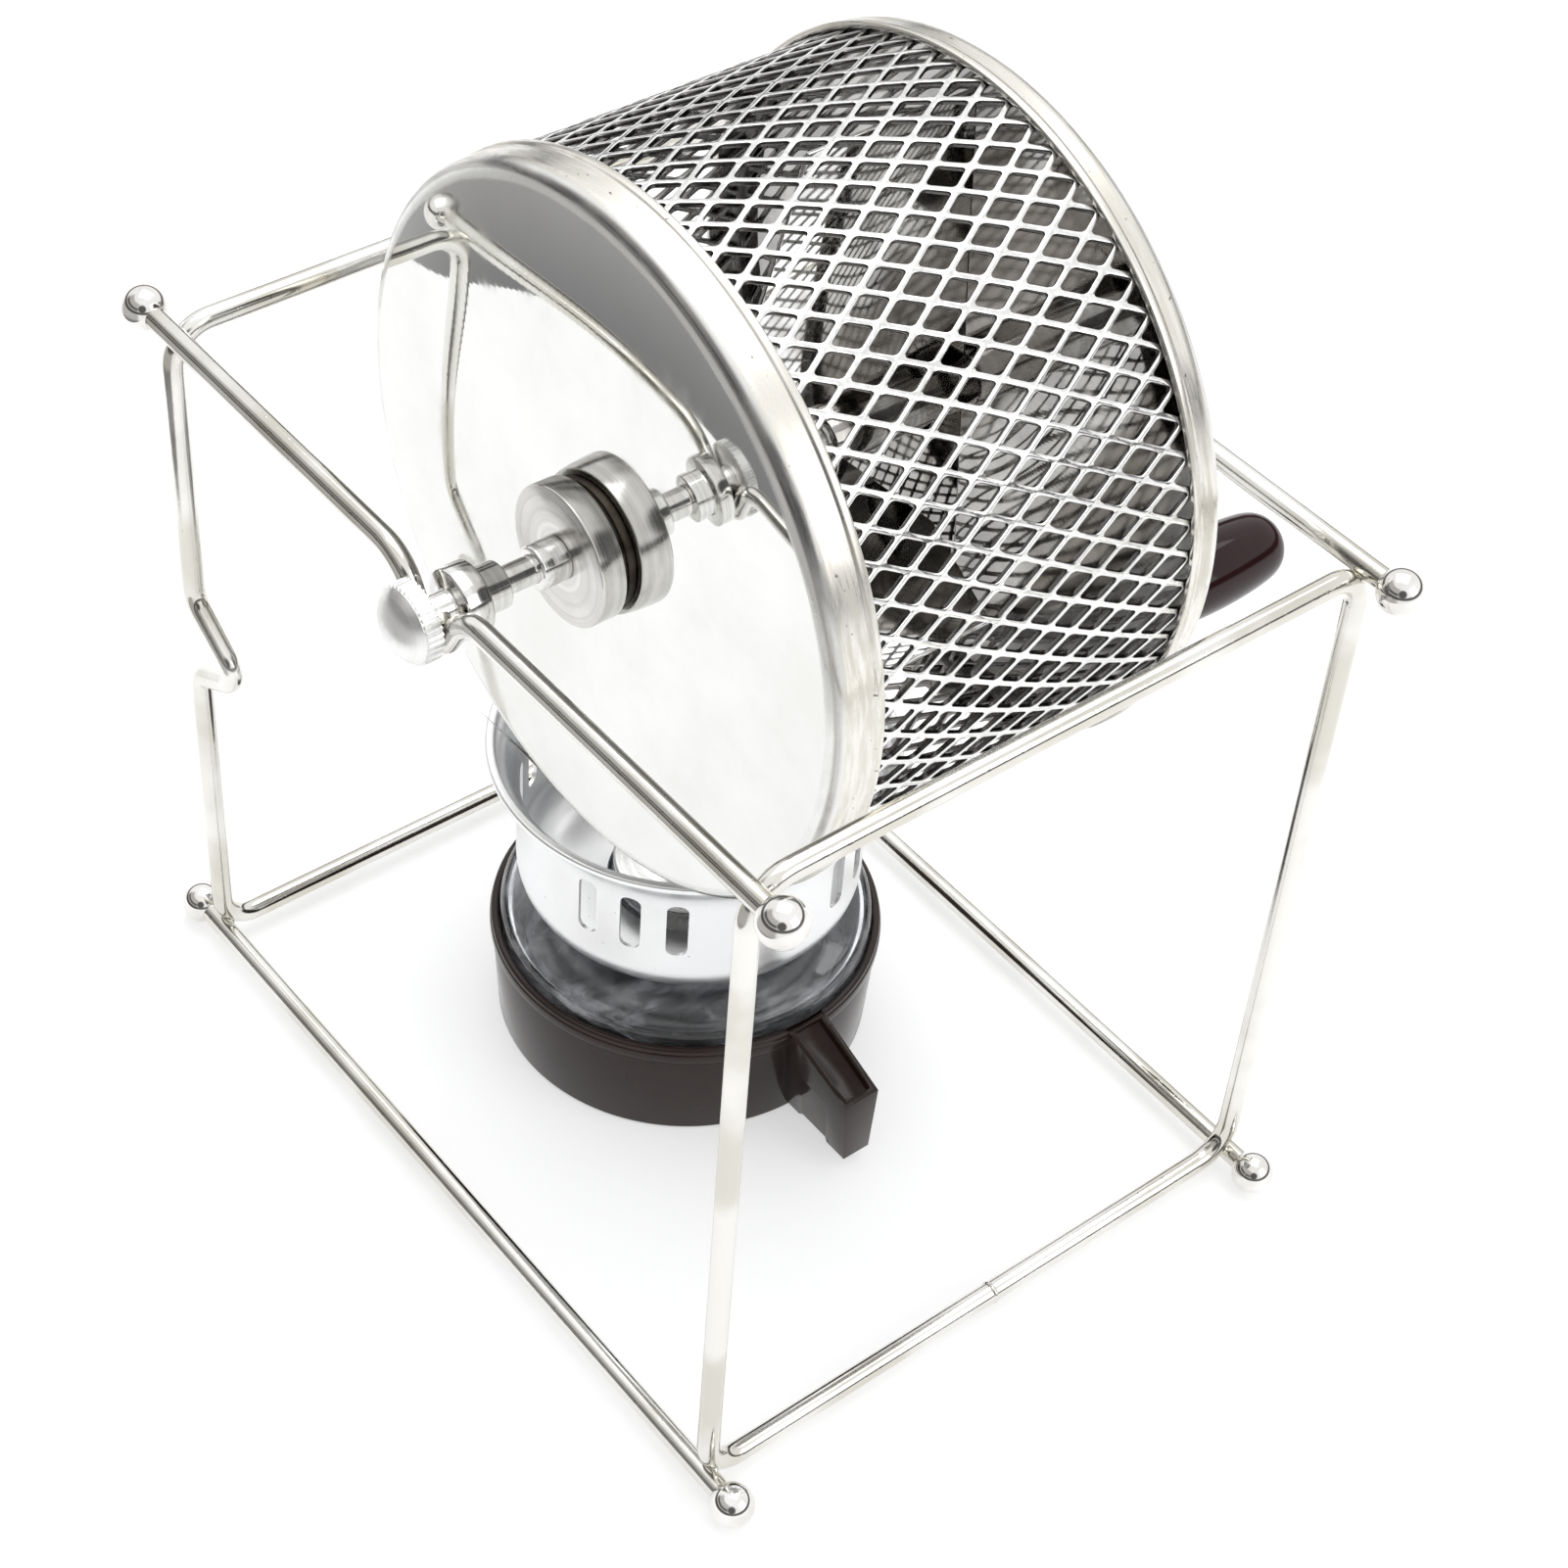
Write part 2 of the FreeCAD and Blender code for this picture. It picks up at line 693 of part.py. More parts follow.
def glass_bowl():
    """Blown glass reservoir: straight side, sloping shoulder and a short neck."""
    outer = glass_d / 2
    neck = glass_neck_d / 2
    wall = glass_wall
    floor = base_inside + wall
    slant = wall * math.hypot(1, 2 * shoulder_slope)
    throat = glass_shoulder - slant + 2 * shoulder_slope * wall
    corner = glass_top - slant + 2 * shoulder_slope * wall
    foot = outer - base_draft
    return on_burner([(0, base_inside), (foot, base_inside), (outer, base_height), (outer, glass_top),
                      (neck, glass_shoulder), (neck, glass_neck_top),
                      (neck - wall, glass_neck_top), (neck - wall, throat),
                      (outer - wall, corner), (outer - wall, base_height), (foot - wall, floor), (0, floor)],
                     {1: glass_bottom_round, 3: glass_round})


def windshield():
    """Spun aluminium chimney: rounded bottom, flared and beaded rim, slots in groups."""
    wall, sheet = shield_d / 2, shield_sheet
    rim = shield_rim_d / 2
    hole = shield_hole_d / 2
    waist = (wall + rim) / 2
    waist_z = shield_straight + shield_flare * shield_waist
    bead = shield_top - shield_bead
    shell = on_burner([(hole, shield_bottom), (wall, shield_bottom), (wall, shield_straight),
                       (waist, waist_z), (rim - sheet, bead), (rim, bead), (rim, shield_top),
                       (rim - shield_bead, shield_top), (rim - shield_bead, bead),
                       (waist - sheet, waist_z + sheet), (wall - sheet, shield_straight),
                       (wall - sheet, shield_bottom + sheet), (hole, shield_bottom + sheet)],
                      {1: shield_round})
    return shell.cut(Part.makeCompound(slot_cutters(wall)))


def slot_cutters(wall):
    half = slot_width / 2
    near, depth = wall - 4 * shield_sheet, 6 * shield_sheet
    points = [(near, -half, slot_bottom), (near, half, slot_bottom), (near, half, slot_top),
              (near, -half, slot_top)]
    outline = eased(points, {k: slot_corner for k in range(4)}, edge_step)
    cutters = []
    for group in range(slot_groups):
        for i in range(slots_per_group):
            turn = slot_heading + group * 360 / slot_groups + (i - (slots_per_group - 1) / 2) * slot_step
            cutter = flat(outline).extrude(vec(depth, 0, 0))
            cutter.rotate(vec(0, 0, 0), vec(0, 0, 1), turn)
            cutter.translate(vec(burner_x, burner_y, 0))
            cutters.append(cutter)
    return cutters


def wick_cap():
    """Metal cap on the glass neck with the tube that holds the wick."""
    top = glass_neck_top + wick_cap_thickness
    tube = wick_tube_d / 2
    bore = tube - wick_tube_wall
    return on_burner([(bore, glass_neck_top), (wick_cap_d / 2, glass_neck_top), (wick_cap_d / 2, top),
                      (tube, top), (tube, top + wick_tube_height), (bore, top + wick_tube_height)],
                     sides=turned_sides)


def wick():
    radius = wick_tube_d / 2 - wick_tube_wall
    top = glass_neck_top + wick_cap_thickness + wick_tube_height + wick_height
    low = base_inside + glass_wall + wick_lift
    return on_burner([(0, low), (radius, low), (radius, top), (0, top)], {2: edge_round}, turned_sides)


PARTS = {
    "left_side_loop": lambda: side_loop(-loop_spacing / 2, 1),
    "right_side_loop": lambda: side_loop(loop_spacing / 2),
    "front_top_rail": lambda: top_rail(-rail_y),
    "rear_top_rail": lambda: top_rail(rail_y),
    "front_bottom_rail": lambda: bottom_rail(-rail_y),
    "rear_bottom_rail": lambda: bottom_rail(rail_y),
    "top_ball_ends": lambda: rail_balls(top_rail_z),
    "foot_balls": lambda: rail_balls(floor_rail_z),
    "drum_mesh": drum_mesh,
    "front_cap": front_cap,
    "rear_cap": rear_cap,
    "drum_shaft": drum_shaft,
    "front_stirring_blades": lambda: stirring_blades(blades_front, 1, blade_angle),
    "rear_stirring_blades": lambda: stirring_blades(blades_rear, -1, blade_angle + 90),
    "front_neck": front_neck,
    "rear_neck": rear_neck,
    "knurled_knob": knurled_knob,
    "hole_ring": hole_ring,
    "fill_plug": fill_plug,
    "plug_hub": plug_hub,
    "rear_flange": rear_flange,
    "crank_boss": crank_boss,
    "crank_arm": crank_arm,
    "crank_nut": crank_nut,
    "handle_spindle": handle_spindle,
    "handle_grip": handle_grip,
    "burner_base": burner_base,
    "glass_bowl": glass_bowl,
    "windshield": windshield,
    "wick_cap": wick_cap,
    "wick": wick,
}


def build():
    os.makedirs("parts", exist_ok=True)
    for name, make in PARTS.items():
        make().exportStep("parts/" + name + ".step")


build()
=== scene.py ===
"""Looks of a hand-cranked coffee roaster: wire stand, mesh drum and spirit burner.

Sizes in the classes are millimetres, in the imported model's own frame: X along the rails, Y along
the drum from the knob to the crank, Z up from the table. Meshes are written in metres.
"""
import logging
import math
from dataclasses import dataclass, field
from enum import Enum

import bmesh
import bpy
from mathutils import Matrix, Vector


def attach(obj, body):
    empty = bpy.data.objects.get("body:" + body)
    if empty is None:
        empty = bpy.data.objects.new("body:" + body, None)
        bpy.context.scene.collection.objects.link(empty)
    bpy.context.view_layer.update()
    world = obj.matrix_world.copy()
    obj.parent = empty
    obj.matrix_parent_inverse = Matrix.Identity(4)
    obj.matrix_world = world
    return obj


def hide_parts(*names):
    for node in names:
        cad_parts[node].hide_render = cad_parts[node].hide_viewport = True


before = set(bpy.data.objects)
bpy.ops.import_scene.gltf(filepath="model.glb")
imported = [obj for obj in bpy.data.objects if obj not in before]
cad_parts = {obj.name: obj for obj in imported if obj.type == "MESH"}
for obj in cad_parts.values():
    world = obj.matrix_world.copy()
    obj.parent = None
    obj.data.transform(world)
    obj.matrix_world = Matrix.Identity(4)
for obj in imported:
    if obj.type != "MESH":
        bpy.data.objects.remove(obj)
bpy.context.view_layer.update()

log = logging.getLogger("roaster")

MM = 0.001                # one millimetre in metres
FULL = 2 * math.pi
AXIS_Z = 156.76           # drum axis above the table
DRUM = Vector((0.0, 0.0, AXIS_Z))
BURNER = Vector((-17.5, 5.0, 0.0))
MERGE = 1e-6              # metres between points that count as one
PROUD = 0.3               # how far an end stands past, or inside, the piece round it


class Axis(Enum):
    """Direction that a turned piece is turned about."""

    ALONG_DRUM = (0.0, 1.0, 0.0)
    UPRIGHT = (0.0, 0.0, 1.0)


class Body(Enum):
    """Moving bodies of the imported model."""

    FRAME = "frame"
    DRUM = "drum"
    PLUG = "plug"
    GRIP = "grip"
    BURNER = "burner"
    WINDSHIELD = "windshield"


# Materials


class NodeBench:
    """Builds nodes in one tree."""

    def __init__(self, tree: bpy.types.NodeTree) -> None:
        """Starts on a node tree."""
        self.tree = tree
        self._row = 0

    def node(self, kind: str, **settings: object) -> bpy.types.Node:
        """Adds a node.

        Args:
            kind: Blender's node type.
            settings: attributes of the node.

        Returns:
            The new node.
        """
        made = self.tree.nodes.new(kind)
        self._row += 1
        made.location = (-220.0 * (self._row % 6) - 300.0, 180.0 * (self._row // 6))
        for key, value in settings.items():
            setattr(made, key, value)
        return made

    def link(self, start: object, end: object) -> None:
        """Joins an output socket to an input socket."""
        self.tree.links.new(start, end)

    def place(self, origin: Vector = Vector(), scale: tuple = (1.0, 1.0, 1.0)) -> object:
        """Object coordinates about an origin.

        Args:
            origin: the point, in millimetres, that reads zero.
            scale: factors after the shift.

        Returns:
            The mapped vector socket, in metres before the scale.
        """
        coords = self.node("ShaderNodeTexCoord")
        shift = self.node("ShaderNodeVectorMath", operation="SUBTRACT")
        shift.inputs[1].default_value = origin * MM
        self.link(coords.outputs["Object"], shift.inputs[0])
        if scale == (1.0, 1.0, 1.0):
            return shift.outputs[0]
        size = self.node("ShaderNodeVectorMath", operation="MULTIPLY")
        size.inputs[1].default_value = scale
        self.link(shift.outputs[0], size.inputs[0])
        return size.outputs[0]

    def math(self, operation: str, first: object, second: object = None) -> object:
        """Maths on two values, each a socket or a number.

        Args:
            operation: Blender's operation name.
            first: the first value.
            second: the second value, if the operation takes one.

        Returns:
            The result's socket.
        """
        made = self.node("ShaderNodeMath", operation=operation)
        for socket, value in zip(made.inputs, (first, second)):
            if isinstance(value, (int, float)):
                socket.default_value = value
            elif value is not None:
                self.link(value, socket)
        return made.outputs[0]

    def noise(self, vector: object, scale: float, detail: float = 3.0, rough: float = 0.5) -> object:
        """Noise value between 0 and 1.

        Args:
            vector: where the noise is read.
            scale: cells per metre.
            detail: octaves.
            rough: how much the finer octaves weigh.

        Returns:
            The value's socket.
        """
        made = self.node("ShaderNodeTexNoise")
        made.inputs["Scale"].default_value = scale
        made.inputs["Detail"].default_value = detail
        made.inputs["Roughness"].default_value = rough
        self.link(vector, made.inputs["Vector"])
        return made.outputs["Fac"]

    def span(self, value: object, low: float, high: float, to_low: float, to_high: float) -> object:
        """Maps a value's range smoothly to another, clamped.

        Args:
            value: the socket that is read.
            low: the value that gives to_low.
            high: the value that gives to_high.
            to_low: the result at low.
            to_high: the result at high.

        Returns:
            The result's socket.
        """
        made = self.node("ShaderNodeMapRange", interpolation_type="SMOOTHSTEP")
        for key, number in (("From Min", low), ("From Max", high), ("To Min", to_low), ("To Max", to_high)):
            made.inputs[key].default_value = number
        self.link(value, made.inputs["Value"])
        return made.outputs["Result"]

    def blend(self, fac: object, first: tuple, second: tuple) -> object:
        """Colour between two colours.

        Args:
            fac: the share of the second, a socket.
            first: colour at 0, or a socket.
            second: colour at 1, or a socket.

        Returns:
            The colour's socket.
        """
        made = self.node("ShaderNodeMix", data_type="RGBA")
        self.link(fac, made.inputs["Factor"])
        for socket, value in ((made.inputs[6], first), (made.inputs[7], second)):
            if isinstance(value, tuple):
                socket.default_value = (*value, 1.0)
            else:
                self.link(value, socket)
        return made.outputs[2]

    def tone(self, value: object, low: float, high: float, first: tuple, second: tuple) -> object:
        """Colour that follows a value between two colours.

        Args:
            value: the socket that is read.
            low: the value that gives the first colour.
            high: the value that gives the second.
            first: colour at low.
            second: colour at high.

        Returns:
            The colour's socket.
        """
        return self.blend(self.span(value, low, high, 0.0, 1.0), first, second)

    def plus(self, first: object, second: object, share: float) -> object:
        """First value plus a share of the second."""
        return self.math("ADD", first, self.math("MULTIPLY", second, share))

    def split(self, vector: object) -> object:
        """X, Y and Z of a vector.

        Args:
            vector: the vector's socket.

        Returns:
            The three sockets, by place or by name.
        """
        parts = self.node("ShaderNodeSeparateXYZ")
        self.link(vector, parts.inputs[0])
        return parts.outputs

    def distance(self, first: object, second: object) -> object:
        """Length of the flat vector that two values make."""
        squares = [self.math("POWER", value, 2.0) for value in (first, second)]
        return self.math("SQRT", self.math("ADD", *squares))

    def bump(self, height: object, strength: float, depth: float, under: object = None) -> object:
        """Bump from a height, on top of another bump if one is given.

        Args:
            height: the height's socket.
            strength: from 0 to 1.
            depth: what a height of 1 stands for, in millimetres.
            under: the normal of a coarser bump.

        Returns:
            The normal's socket.
        """
        made = self.node("ShaderNodeBump")
        made.inputs["Strength"].default_value = strength
        made.inputs["Distance"].default_value = depth * MM
        self.link(height, made.inputs["Height"])
        if under is not None:
            self.link(under, made.inputs["Normal"])
        return made.outputs["Normal"]


class FinishBench(NodeBench):
    """Builds one material's nodes round its own Principled shader."""

    def __init__(self, name: str) -> None:
        """Starts an empty material.

        Args:
            name: the material's name.
        """
        self.material = bpy.data.materials.new(name)
        self.material.use_nodes = True
        super().__init__(self.material.node_tree)
        self.shader = self.tree.nodes["Principled BSDF"]

    def set(self, **values: object) -> None:
        """Writes constants on the shader's own sockets; underscores in names stand for spaces."""
        for key, value in values.items():
            self.shader.inputs[key.replace("_", " ")].default_value = value

    def wear(self, colour: object = None, roughness: object = None, normal: object = None) -> None:
        """Links what varies over the surface to the shader.

        Args:
            colour: the base colour's socket.
            roughness: the roughness socket.
            normal: the bump's socket.
        """
        for value, key in ((colour, "Base Color"), (roughness, "Roughness"), (normal, "Normal")):
            if value is not None:
                self.link(value, self.shader.inputs[key])


@dataclass(frozen=True)
class PlatedWire:
    """Bright nickel plate over drawn wire, slightly warm and a little uneven."""

    name: str = "plated_wire"
    warm: tuple = (0.66, 0.64, 0.575)
    cool: tuple = (0.84, 0.83, 0.795)

    def build(self) -> bpy.types.Material:
        """Makes the material.

        Returns:
            The material.
        """
        bench = FinishBench(self.name)
        bench.set(Metallic=1.0)
        here = bench.place()
        cloud = bench.noise(here, 38.0, 3.0)
        fine = bench.noise(here, 620.0, 3.0, 0.6)
        colour = bench.tone(cloud, 0.38, 0.62, self.warm, self.cool)
        rough = bench.span(bench.plus(cloud, fine, 0.35), 0.45, 0.95, 0.07, 0.19)
        wave = bench.bump(bench.noise(here, 85.0, 2.0), 0.35, 0.22)
        pits = bench.bump(bench.span(fine, 0.30, 0.44, 0.0, 1.0), 0.25, 0.03, wave)
        bench.wear(colour, rough, pits)
        return bench.material


@dataclass(frozen=True)
class PlatedBall:
    """Polished plated ball with a faint haze."""

    name: str = "plated_ball"

    def build(self) -> bpy.types.Material:
        """Makes the material.

        Returns:
            The material.
        """
        bench = FinishBench(self.name)
        bench.set(Metallic=1.0)
        here = bench.place()
        cloud = bench.noise(here, 160.0, 3.0)
        colour = bench.tone(cloud, 0.35, 0.65, (0.78, 0.76, 0.73), (0.88, 0.87, 0.85))
        rough = bench.span(bench.noise(here, 420.0, 4.0, 0.6), 0.4, 0.75, 0.035, 0.13)
        bench.wear(colour, rough, bench.bump(cloud, 0.2, 0.05))
        return bench.material


@dataclass(frozen=True)
class MirrorSheet:
    """Polished stainless sheet: wavy mirror with smudges, a satin rolled skirt, and painted shade on its inside."""

    name: str = "mirror_sheet"
    face: float = -36.1       # Y of the flat face
    toward: float = -1.0      # way that the face looks along Y
    # colour of the painted shade on the cap's inside, which faces into the drum
    inside: tuple = (0.34, 0.335, 0.33)
    shoulder: tuple = (0.0652, 0.0662)    # metres from the axis, where the satin begins
    wall: tuple = (0.0682, 0.0688)        # metres from the axis, where the painted shade on the inside ends

    def build(self) -> bpy.types.Material:
        """Makes the material.

        Returns:
            The material.
        """
        bench = FinishBench(self.name)
        bench.set(Metallic=1.0)
        here = bench.place(Vector((0.0, self.face, AXIS_Z)))
        behind = bench.math("MULTIPLY", bench.split(here)["Y"], -self.toward / MM)
        on_skirt = bench.span(behind, 1.6, 2.6, 0.0, 1.0)
        smudge = bench.noise(here, 26.0, 5.0, 0.62)
        print_marks = bench.noise(here, 210.0, 4.0, 0.65)
        face_rough = bench.span(bench.plus(smudge, print_marks, 0.25), 0.56, 0.86, 0.018, 0.11)
        streaks = bench.noise(bench.place(DRUM, (1.0, 7.0, 1.0)), 120.0, 4.0, 0.6)
        skirt_rough = bench.span(streaks, 0.35, 0.7, 0.22, 0.38)
        flat = bench.node("ShaderNodeVectorMath", operation="LENGTH")
        bench.link(bench.place(DRUM, (1.0, 0.0, 1.0)), flat.inputs[0])
        drawn = bench.math("MAXIMUM", on_skirt, bench.span(flat.outputs["Value"], *self.shoulder, 0.0, 1.0))
        rough = bench.math("ADD", bench.math("MULTIPLY", face_rough, bench.math("SUBTRACT", 1.0, drawn)),
                           bench.math("MULTIPLY", skirt_rough, drawn))
        clean = bench.tone(smudge, 0.35, 0.7, (0.845, 0.85, 0.835), (0.78, 0.78, 0.755))
        rolled = bench.tone(streaks, 0.35, 0.65, (0.82, 0.80, 0.75), (0.70, 0.675, 0.61))
        colour = bench.blend(on_skirt, clean, rolled)
        # Painted shade: the cap's back face and inner skirt, which face into the drum, are darkened.
        inside = bench.math("MULTIPLY", bench.span(behind, 0.35, 0.65, 0.0, 1.0),
                            bench.span(flat.outputs["Value"], *self.wall, 1.0, 0.0))
        inside_shade = bench.tone(smudge, 0.4, 0.6, self.inside, (0.56, 0.55, 0.53))
        colour = bench.blend(inside, colour, inside_shade)
        pocks = bench.noise(here, 900.0, 1.0)
        marks = bench.math("MULTIPLY", bench.span(pocks, 0.20, 0.27, 1.0, 0.0), on_skirt)
        colour = bench.blend(marks, colour, (0.25, 0.22, 0.18))
        wave = bench.bump(bench.noise(here, 13.0, 1.0), 0.16, 1.0)
        ripple = bench.bump(bench.math("MULTIPLY", streaks, on_skirt), 0.25, 0.06, wave)
        bench.wear(colour, rough, ripple)
        return bench.material


@dataclass(frozen=True)
class ShadedMirror:
    """Polished sheet inside the drum, darkened in uneven patches of painted shade."""

    name: str = "shaded_mirror"
    # the mirror's own colour, where no painted shade lies
    clean: tuple = (0.88, 0.88, 0.87)
    # colour of the painted shade on the blades
    shaded: tuple = (0.42, 0.395, 0.37)

    def build(self) -> bpy.types.Material:
        """Makes the material.

        Returns:
            The material.
        """
        bench = FinishBench(self.name)
        bench.set(Metallic=1.0)
        here = bench.place(DRUM)
        # patches that carry the painted shade, and the rougher spots
        film = bench.noise(here, 34.0, 3.0, 0.55)
        fine = bench.noise(here, 380.0, 4.0, 0.6)
        # Painted shade: uneven patches of the blades are darkened.
        colour = bench.tone(film, 0.46, 0.58, self.clean, self.shaded)
        rough = bench.span(bench.plus(film, fine, 0.3), 0.45, 0.9, 0.02, 0.10)
        bench.wear(colour, rough, bench.bump(bench.noise(here, 22.0, 1.0), 0.2, 0.6))
        return bench.material


@dataclass(frozen=True)
class TurnedSteel:
    """Lathe-turned steel: fine rings about its axis, brighter and duller by turns."""

    name: str
    centre: Vector
    axis: Axis = Axis.ALONG_DRUM
    light: tuple = (0.80, 0.79, 0.77)
    dark: tuple = (0.56, 0.545, 0.525)
    smooth: float = 0.11
    coarse: float = 0.27
    cut: float = 0.035

    def build(self) -> bpy.types.Material:
        """Makes the material.

        Returns:
            The material.
        """
        bench = FinishBench(self.name)
        bench.set(Metallic=1.0, Anisotropic=0.4)
        here = bench.place(self.centre)
        parts = bench.split(here)
        across, along = ("Z", "Y") if self.axis is Axis.ALONG_DRUM else ("Y", "Z")
        radius = bench.distance(parts["X"], parts[across])
        rings = bench.node("ShaderNodeCombineXYZ")
        bench.link(radius, rings.inputs["X"])
        bench.link(parts[along], rings.inputs["Y"])
        bench.link(bench.math("MULTIPLY", bench.noise(here, 30.0), 0.0006), rings.inputs["Z"])
        fine = bench.noise(rings.outputs[0], 3600.0, 3.0, 0.6)
        broad = bench.noise(rings.outputs[0], 900.0, 2.0)
        haze = bench.noise(here, 150.0, 4.0, 0.6)
        colour = bench.tone(bench.plus(broad, haze, 0.5), 0.5, 1.0, self.dark, self.light)
        rough = bench.span(bench.math("ADD", fine, haze), 0.75, 1.25, self.smooth, self.coarse)
        bench.wear(colour, rough, bench.bump(fine, 0.45, self.cut))
        return bench.material


@dataclass(frozen=True)
class HeatTint:
    """Brown oxide that brazing leaves on steel."""

    name: str = "heat_tint"

    def build(self) -> bpy.types.Material:
        """Makes the material.

        Returns:
            The material.
        """
        bench = FinishBench(self.name)
        bench.set(Metallic=0.85)
        here = bench.place()
        cloud = bench.noise(here, 140.0, 4.0, 0.6)
        colour = bench.tone(cloud, 0.35, 0.65, (0.030, 0.024, 0.019), (0.12, 0.10, 0.08))
        rough = bench.span(cloud, 0.3, 0.7, 0.28, 0.48)
        bench.wear(colour, rough, bench.bump(bench.noise(here, 900.0), 0.3, 0.03))
        return bench.material


@dataclass(frozen=True)
class ExpandedSteel:
    """Bright expanded sheet: shiny strands with painted shade on their flanks."""

    name: str = "expanded_steel"
    # colour of the painted shade on the strands' flanks
    flank_shade: tuple = (0.20, 0.195, 0.19)

    def build(self) -> bpy.types.Material:
        """Makes the material.

        Returns:
            The material.
        """
        bench = FinishBench(self.name)
        bench.set(Metallic=1.0)
        here = bench.place()
        cloud = bench.noise(here, 60.0, 3.0)
        fine = bench.noise(here, 700.0, 4.0, 0.65)
        colour = bench.tone(bench.math("ADD", cloud, fine), 0.75, 1.25, (0.74, 0.74, 0.73), (0.92, 0.92, 0.91))
        # Painted shade: faces that stand square to the drum's radius, the strands' flanks, are darkened.
        coords = bench.node("ShaderNodeTexCoord")
        out = bench.place(DRUM, (1.0, 0.0, 1.0))
        radial = bench.node("ShaderNodeVectorMath", operation="NORMALIZE")
        bench.link(out, radial.inputs[0])
        facing = bench.node("ShaderNodeVectorMath", operation="DOT_PRODUCT")
        bench.link(radial.outputs[0], facing.inputs[0])
        bench.link(coords.outputs["Normal"], facing.inputs[1])
        flank_shade = bench.span(bench.math("ABSOLUTE", facing.outputs["Value"]), 0.30, 0.80, 1.0, 0.0)
        colour = bench.blend(flank_shade, colour, self.flank_shade)
        rough = bench.span(fine, 0.3, 0.7, 0.10, 0.26)
        bench.wear(colour, rough, bench.bump(fine, 0.3, 0.03))
        return bench.material


@dataclass(frozen=True)
class SpunAluminium:
    """Satin aluminium with faint spinning lines round its axis."""

    name: str = "spun_aluminium"
    centre: Vector = field(default_factory=lambda: BURNER.copy())

    def build(self) -> bpy.types.Material:
        """Makes the material.

        Returns:
            The material.
        """
        bench = FinishBench(self.name)
        bench.set(Metallic=1.0)
        here = bench.place(self.centre)
        rings = bench.place(self.centre, (0.02, 0.02, 1.0))
        lines = bench.noise(rings, 2400.0, 3.0, 0.6)
        haze = bench.noise(here, 45.0, 4.0, 0.6)
        specks = bench.noise(here, 1300.0, 1.0)
        colour = bench.tone(haze, 0.35, 0.65, (0.92, 0.925, 0.935), (0.965, 0.97, 0.975))
        colour = bench.blend(bench.span(specks, 0.17, 0.22, 1.0, 0.0), colour, (0.42, 0.42, 0.42))
        rough = bench.span(bench.plus(haze, lines, 0.2), 0.45, 0.8, 0.28, 0.38)
        bench.wear(colour, rough, bench.bump(haze, 0.15, 0.05))
        return bench.material


@dataclass(frozen=True)
class MouldedResin:
    """Dark moulded resin: glossy, with faint flow marks and dust."""

    name: str
    deep: tuple
    pale: tuple
    smooth: float = 0.17
    dull: float = 0.34

    def build(self) -> bpy.types.Material:
        """Makes the material.

        Returns:
            The material.
        """
        bench = FinishBench(self.name)
        bench.set(Metallic=0.0, IOR=1.5, Specular_IOR_Level=0.32)
        here = bench.place()
        flow = bench.noise(here, 34.0, 4.0, 0.6)
        fine = bench.noise(here, 850.0, 3.0, 0.6)
        dust = bench.noise(here, 1500.0, 1.0)
        colour = bench.tone(flow, 0.32, 0.68, self.deep, self.pale)
        colour = bench.blend(bench.span(dust, 0.13, 0.17, 0.4, 0.0), colour, (0.30, 0.27, 0.24))
        rough = bench.span(bench.plus(flow, fine, 0.4), 0.5, 0.9, self.smooth, self.dull)
        peel = bench.bump(bench.noise(here, 120.0, 1.0), 0.06, 0.06)
        bench.wear(colour, rough, bench.bump(fine, 0.05, 0.01, peel))
        return bench.material


@dataclass(frozen=True)
class BlownGlass:
    """Clear thick glass with wavy walls and a film of streaks."""

    name: str = "blown_glass"

    def build(self) -> bpy.types.Material:
        """Makes the material.

        Returns:
            The material.
        """
        bench = FinishBench(self.name)
        bench.set(Metallic=0.0, IOR=1.5, Base_Color=(0.90, 0.92, 0.955, 1.0))
        here = bench.place(BURNER)
        streak = bench.noise(bench.place(BURNER, (1.0, 0.45, 2.6)), 75.0, 5.0, 0.65)
        rough = bench.span(streak, 0.50, 0.78, 0.01, 0.22)
        bench.link(bench.span(streak, 0.48, 0.70, 0.985, 0.62), bench.shader.inputs["Transmission Weight"])
        wave = bench.bump(bench.noise(here, 42.0, 2.0), 0.4, 0.45)
        bench.wear(None, rough, wave)
        return bench.material


@dataclass(frozen=True)
class WovenCotton:
    """White cotton wick, woven in small slanted stitches."""

    name: str = "woven_cotton"

    def build(self) -> bpy.types.Material:
        """Makes the material.

        Returns:
            The material.
        """
        bench = FinishBench(self.name)
        bench.set(Metallic=0.0, Sheen_Weight=0.35)
        here = bench.place(BURNER)
        first = bench.node("ShaderNodeTexWave", bands_direction="DIAGONAL")
        first.inputs["Scale"].default_value = 260.0
        first.inputs["Distortion"].default_value = 1.2
        bench.link(here, first.inputs["Vector"])
        second = bench.node("ShaderNodeTexWave", bands_direction="Z")
        second.inputs["Scale"].default_value = 330.0
        second.inputs["Distortion"].default_value = 1.0
        bench.link(here, second.inputs["Vector"])
        weave = bench.math("MULTIPLY", first.outputs["Fac"], second.outputs["Fac"])
        fuzz = bench.noise(here, 1800.0, 3.0)
        # Painted shade between the stitches: the weave's low parts are darker.
        colour = bench.blend(weave, (0.62, 0.58, 0.50), (0.90, 0.88, 0.83))
        bench.wear(colour, bench.span(fuzz, 0.3, 0.7, 0.8, 0.95), bench.bump(bench.math("ADD", weave, fuzz), 0.7, 0.3))
        return bench.material


# Meshes


@dataclass(frozen=True)
class Corner:
    """One corner of a turned profile: radius, place along the axis, and how far it is eased."""

    radius: float
    along: float
    ease: float = 0.0
    cuts: int = 3


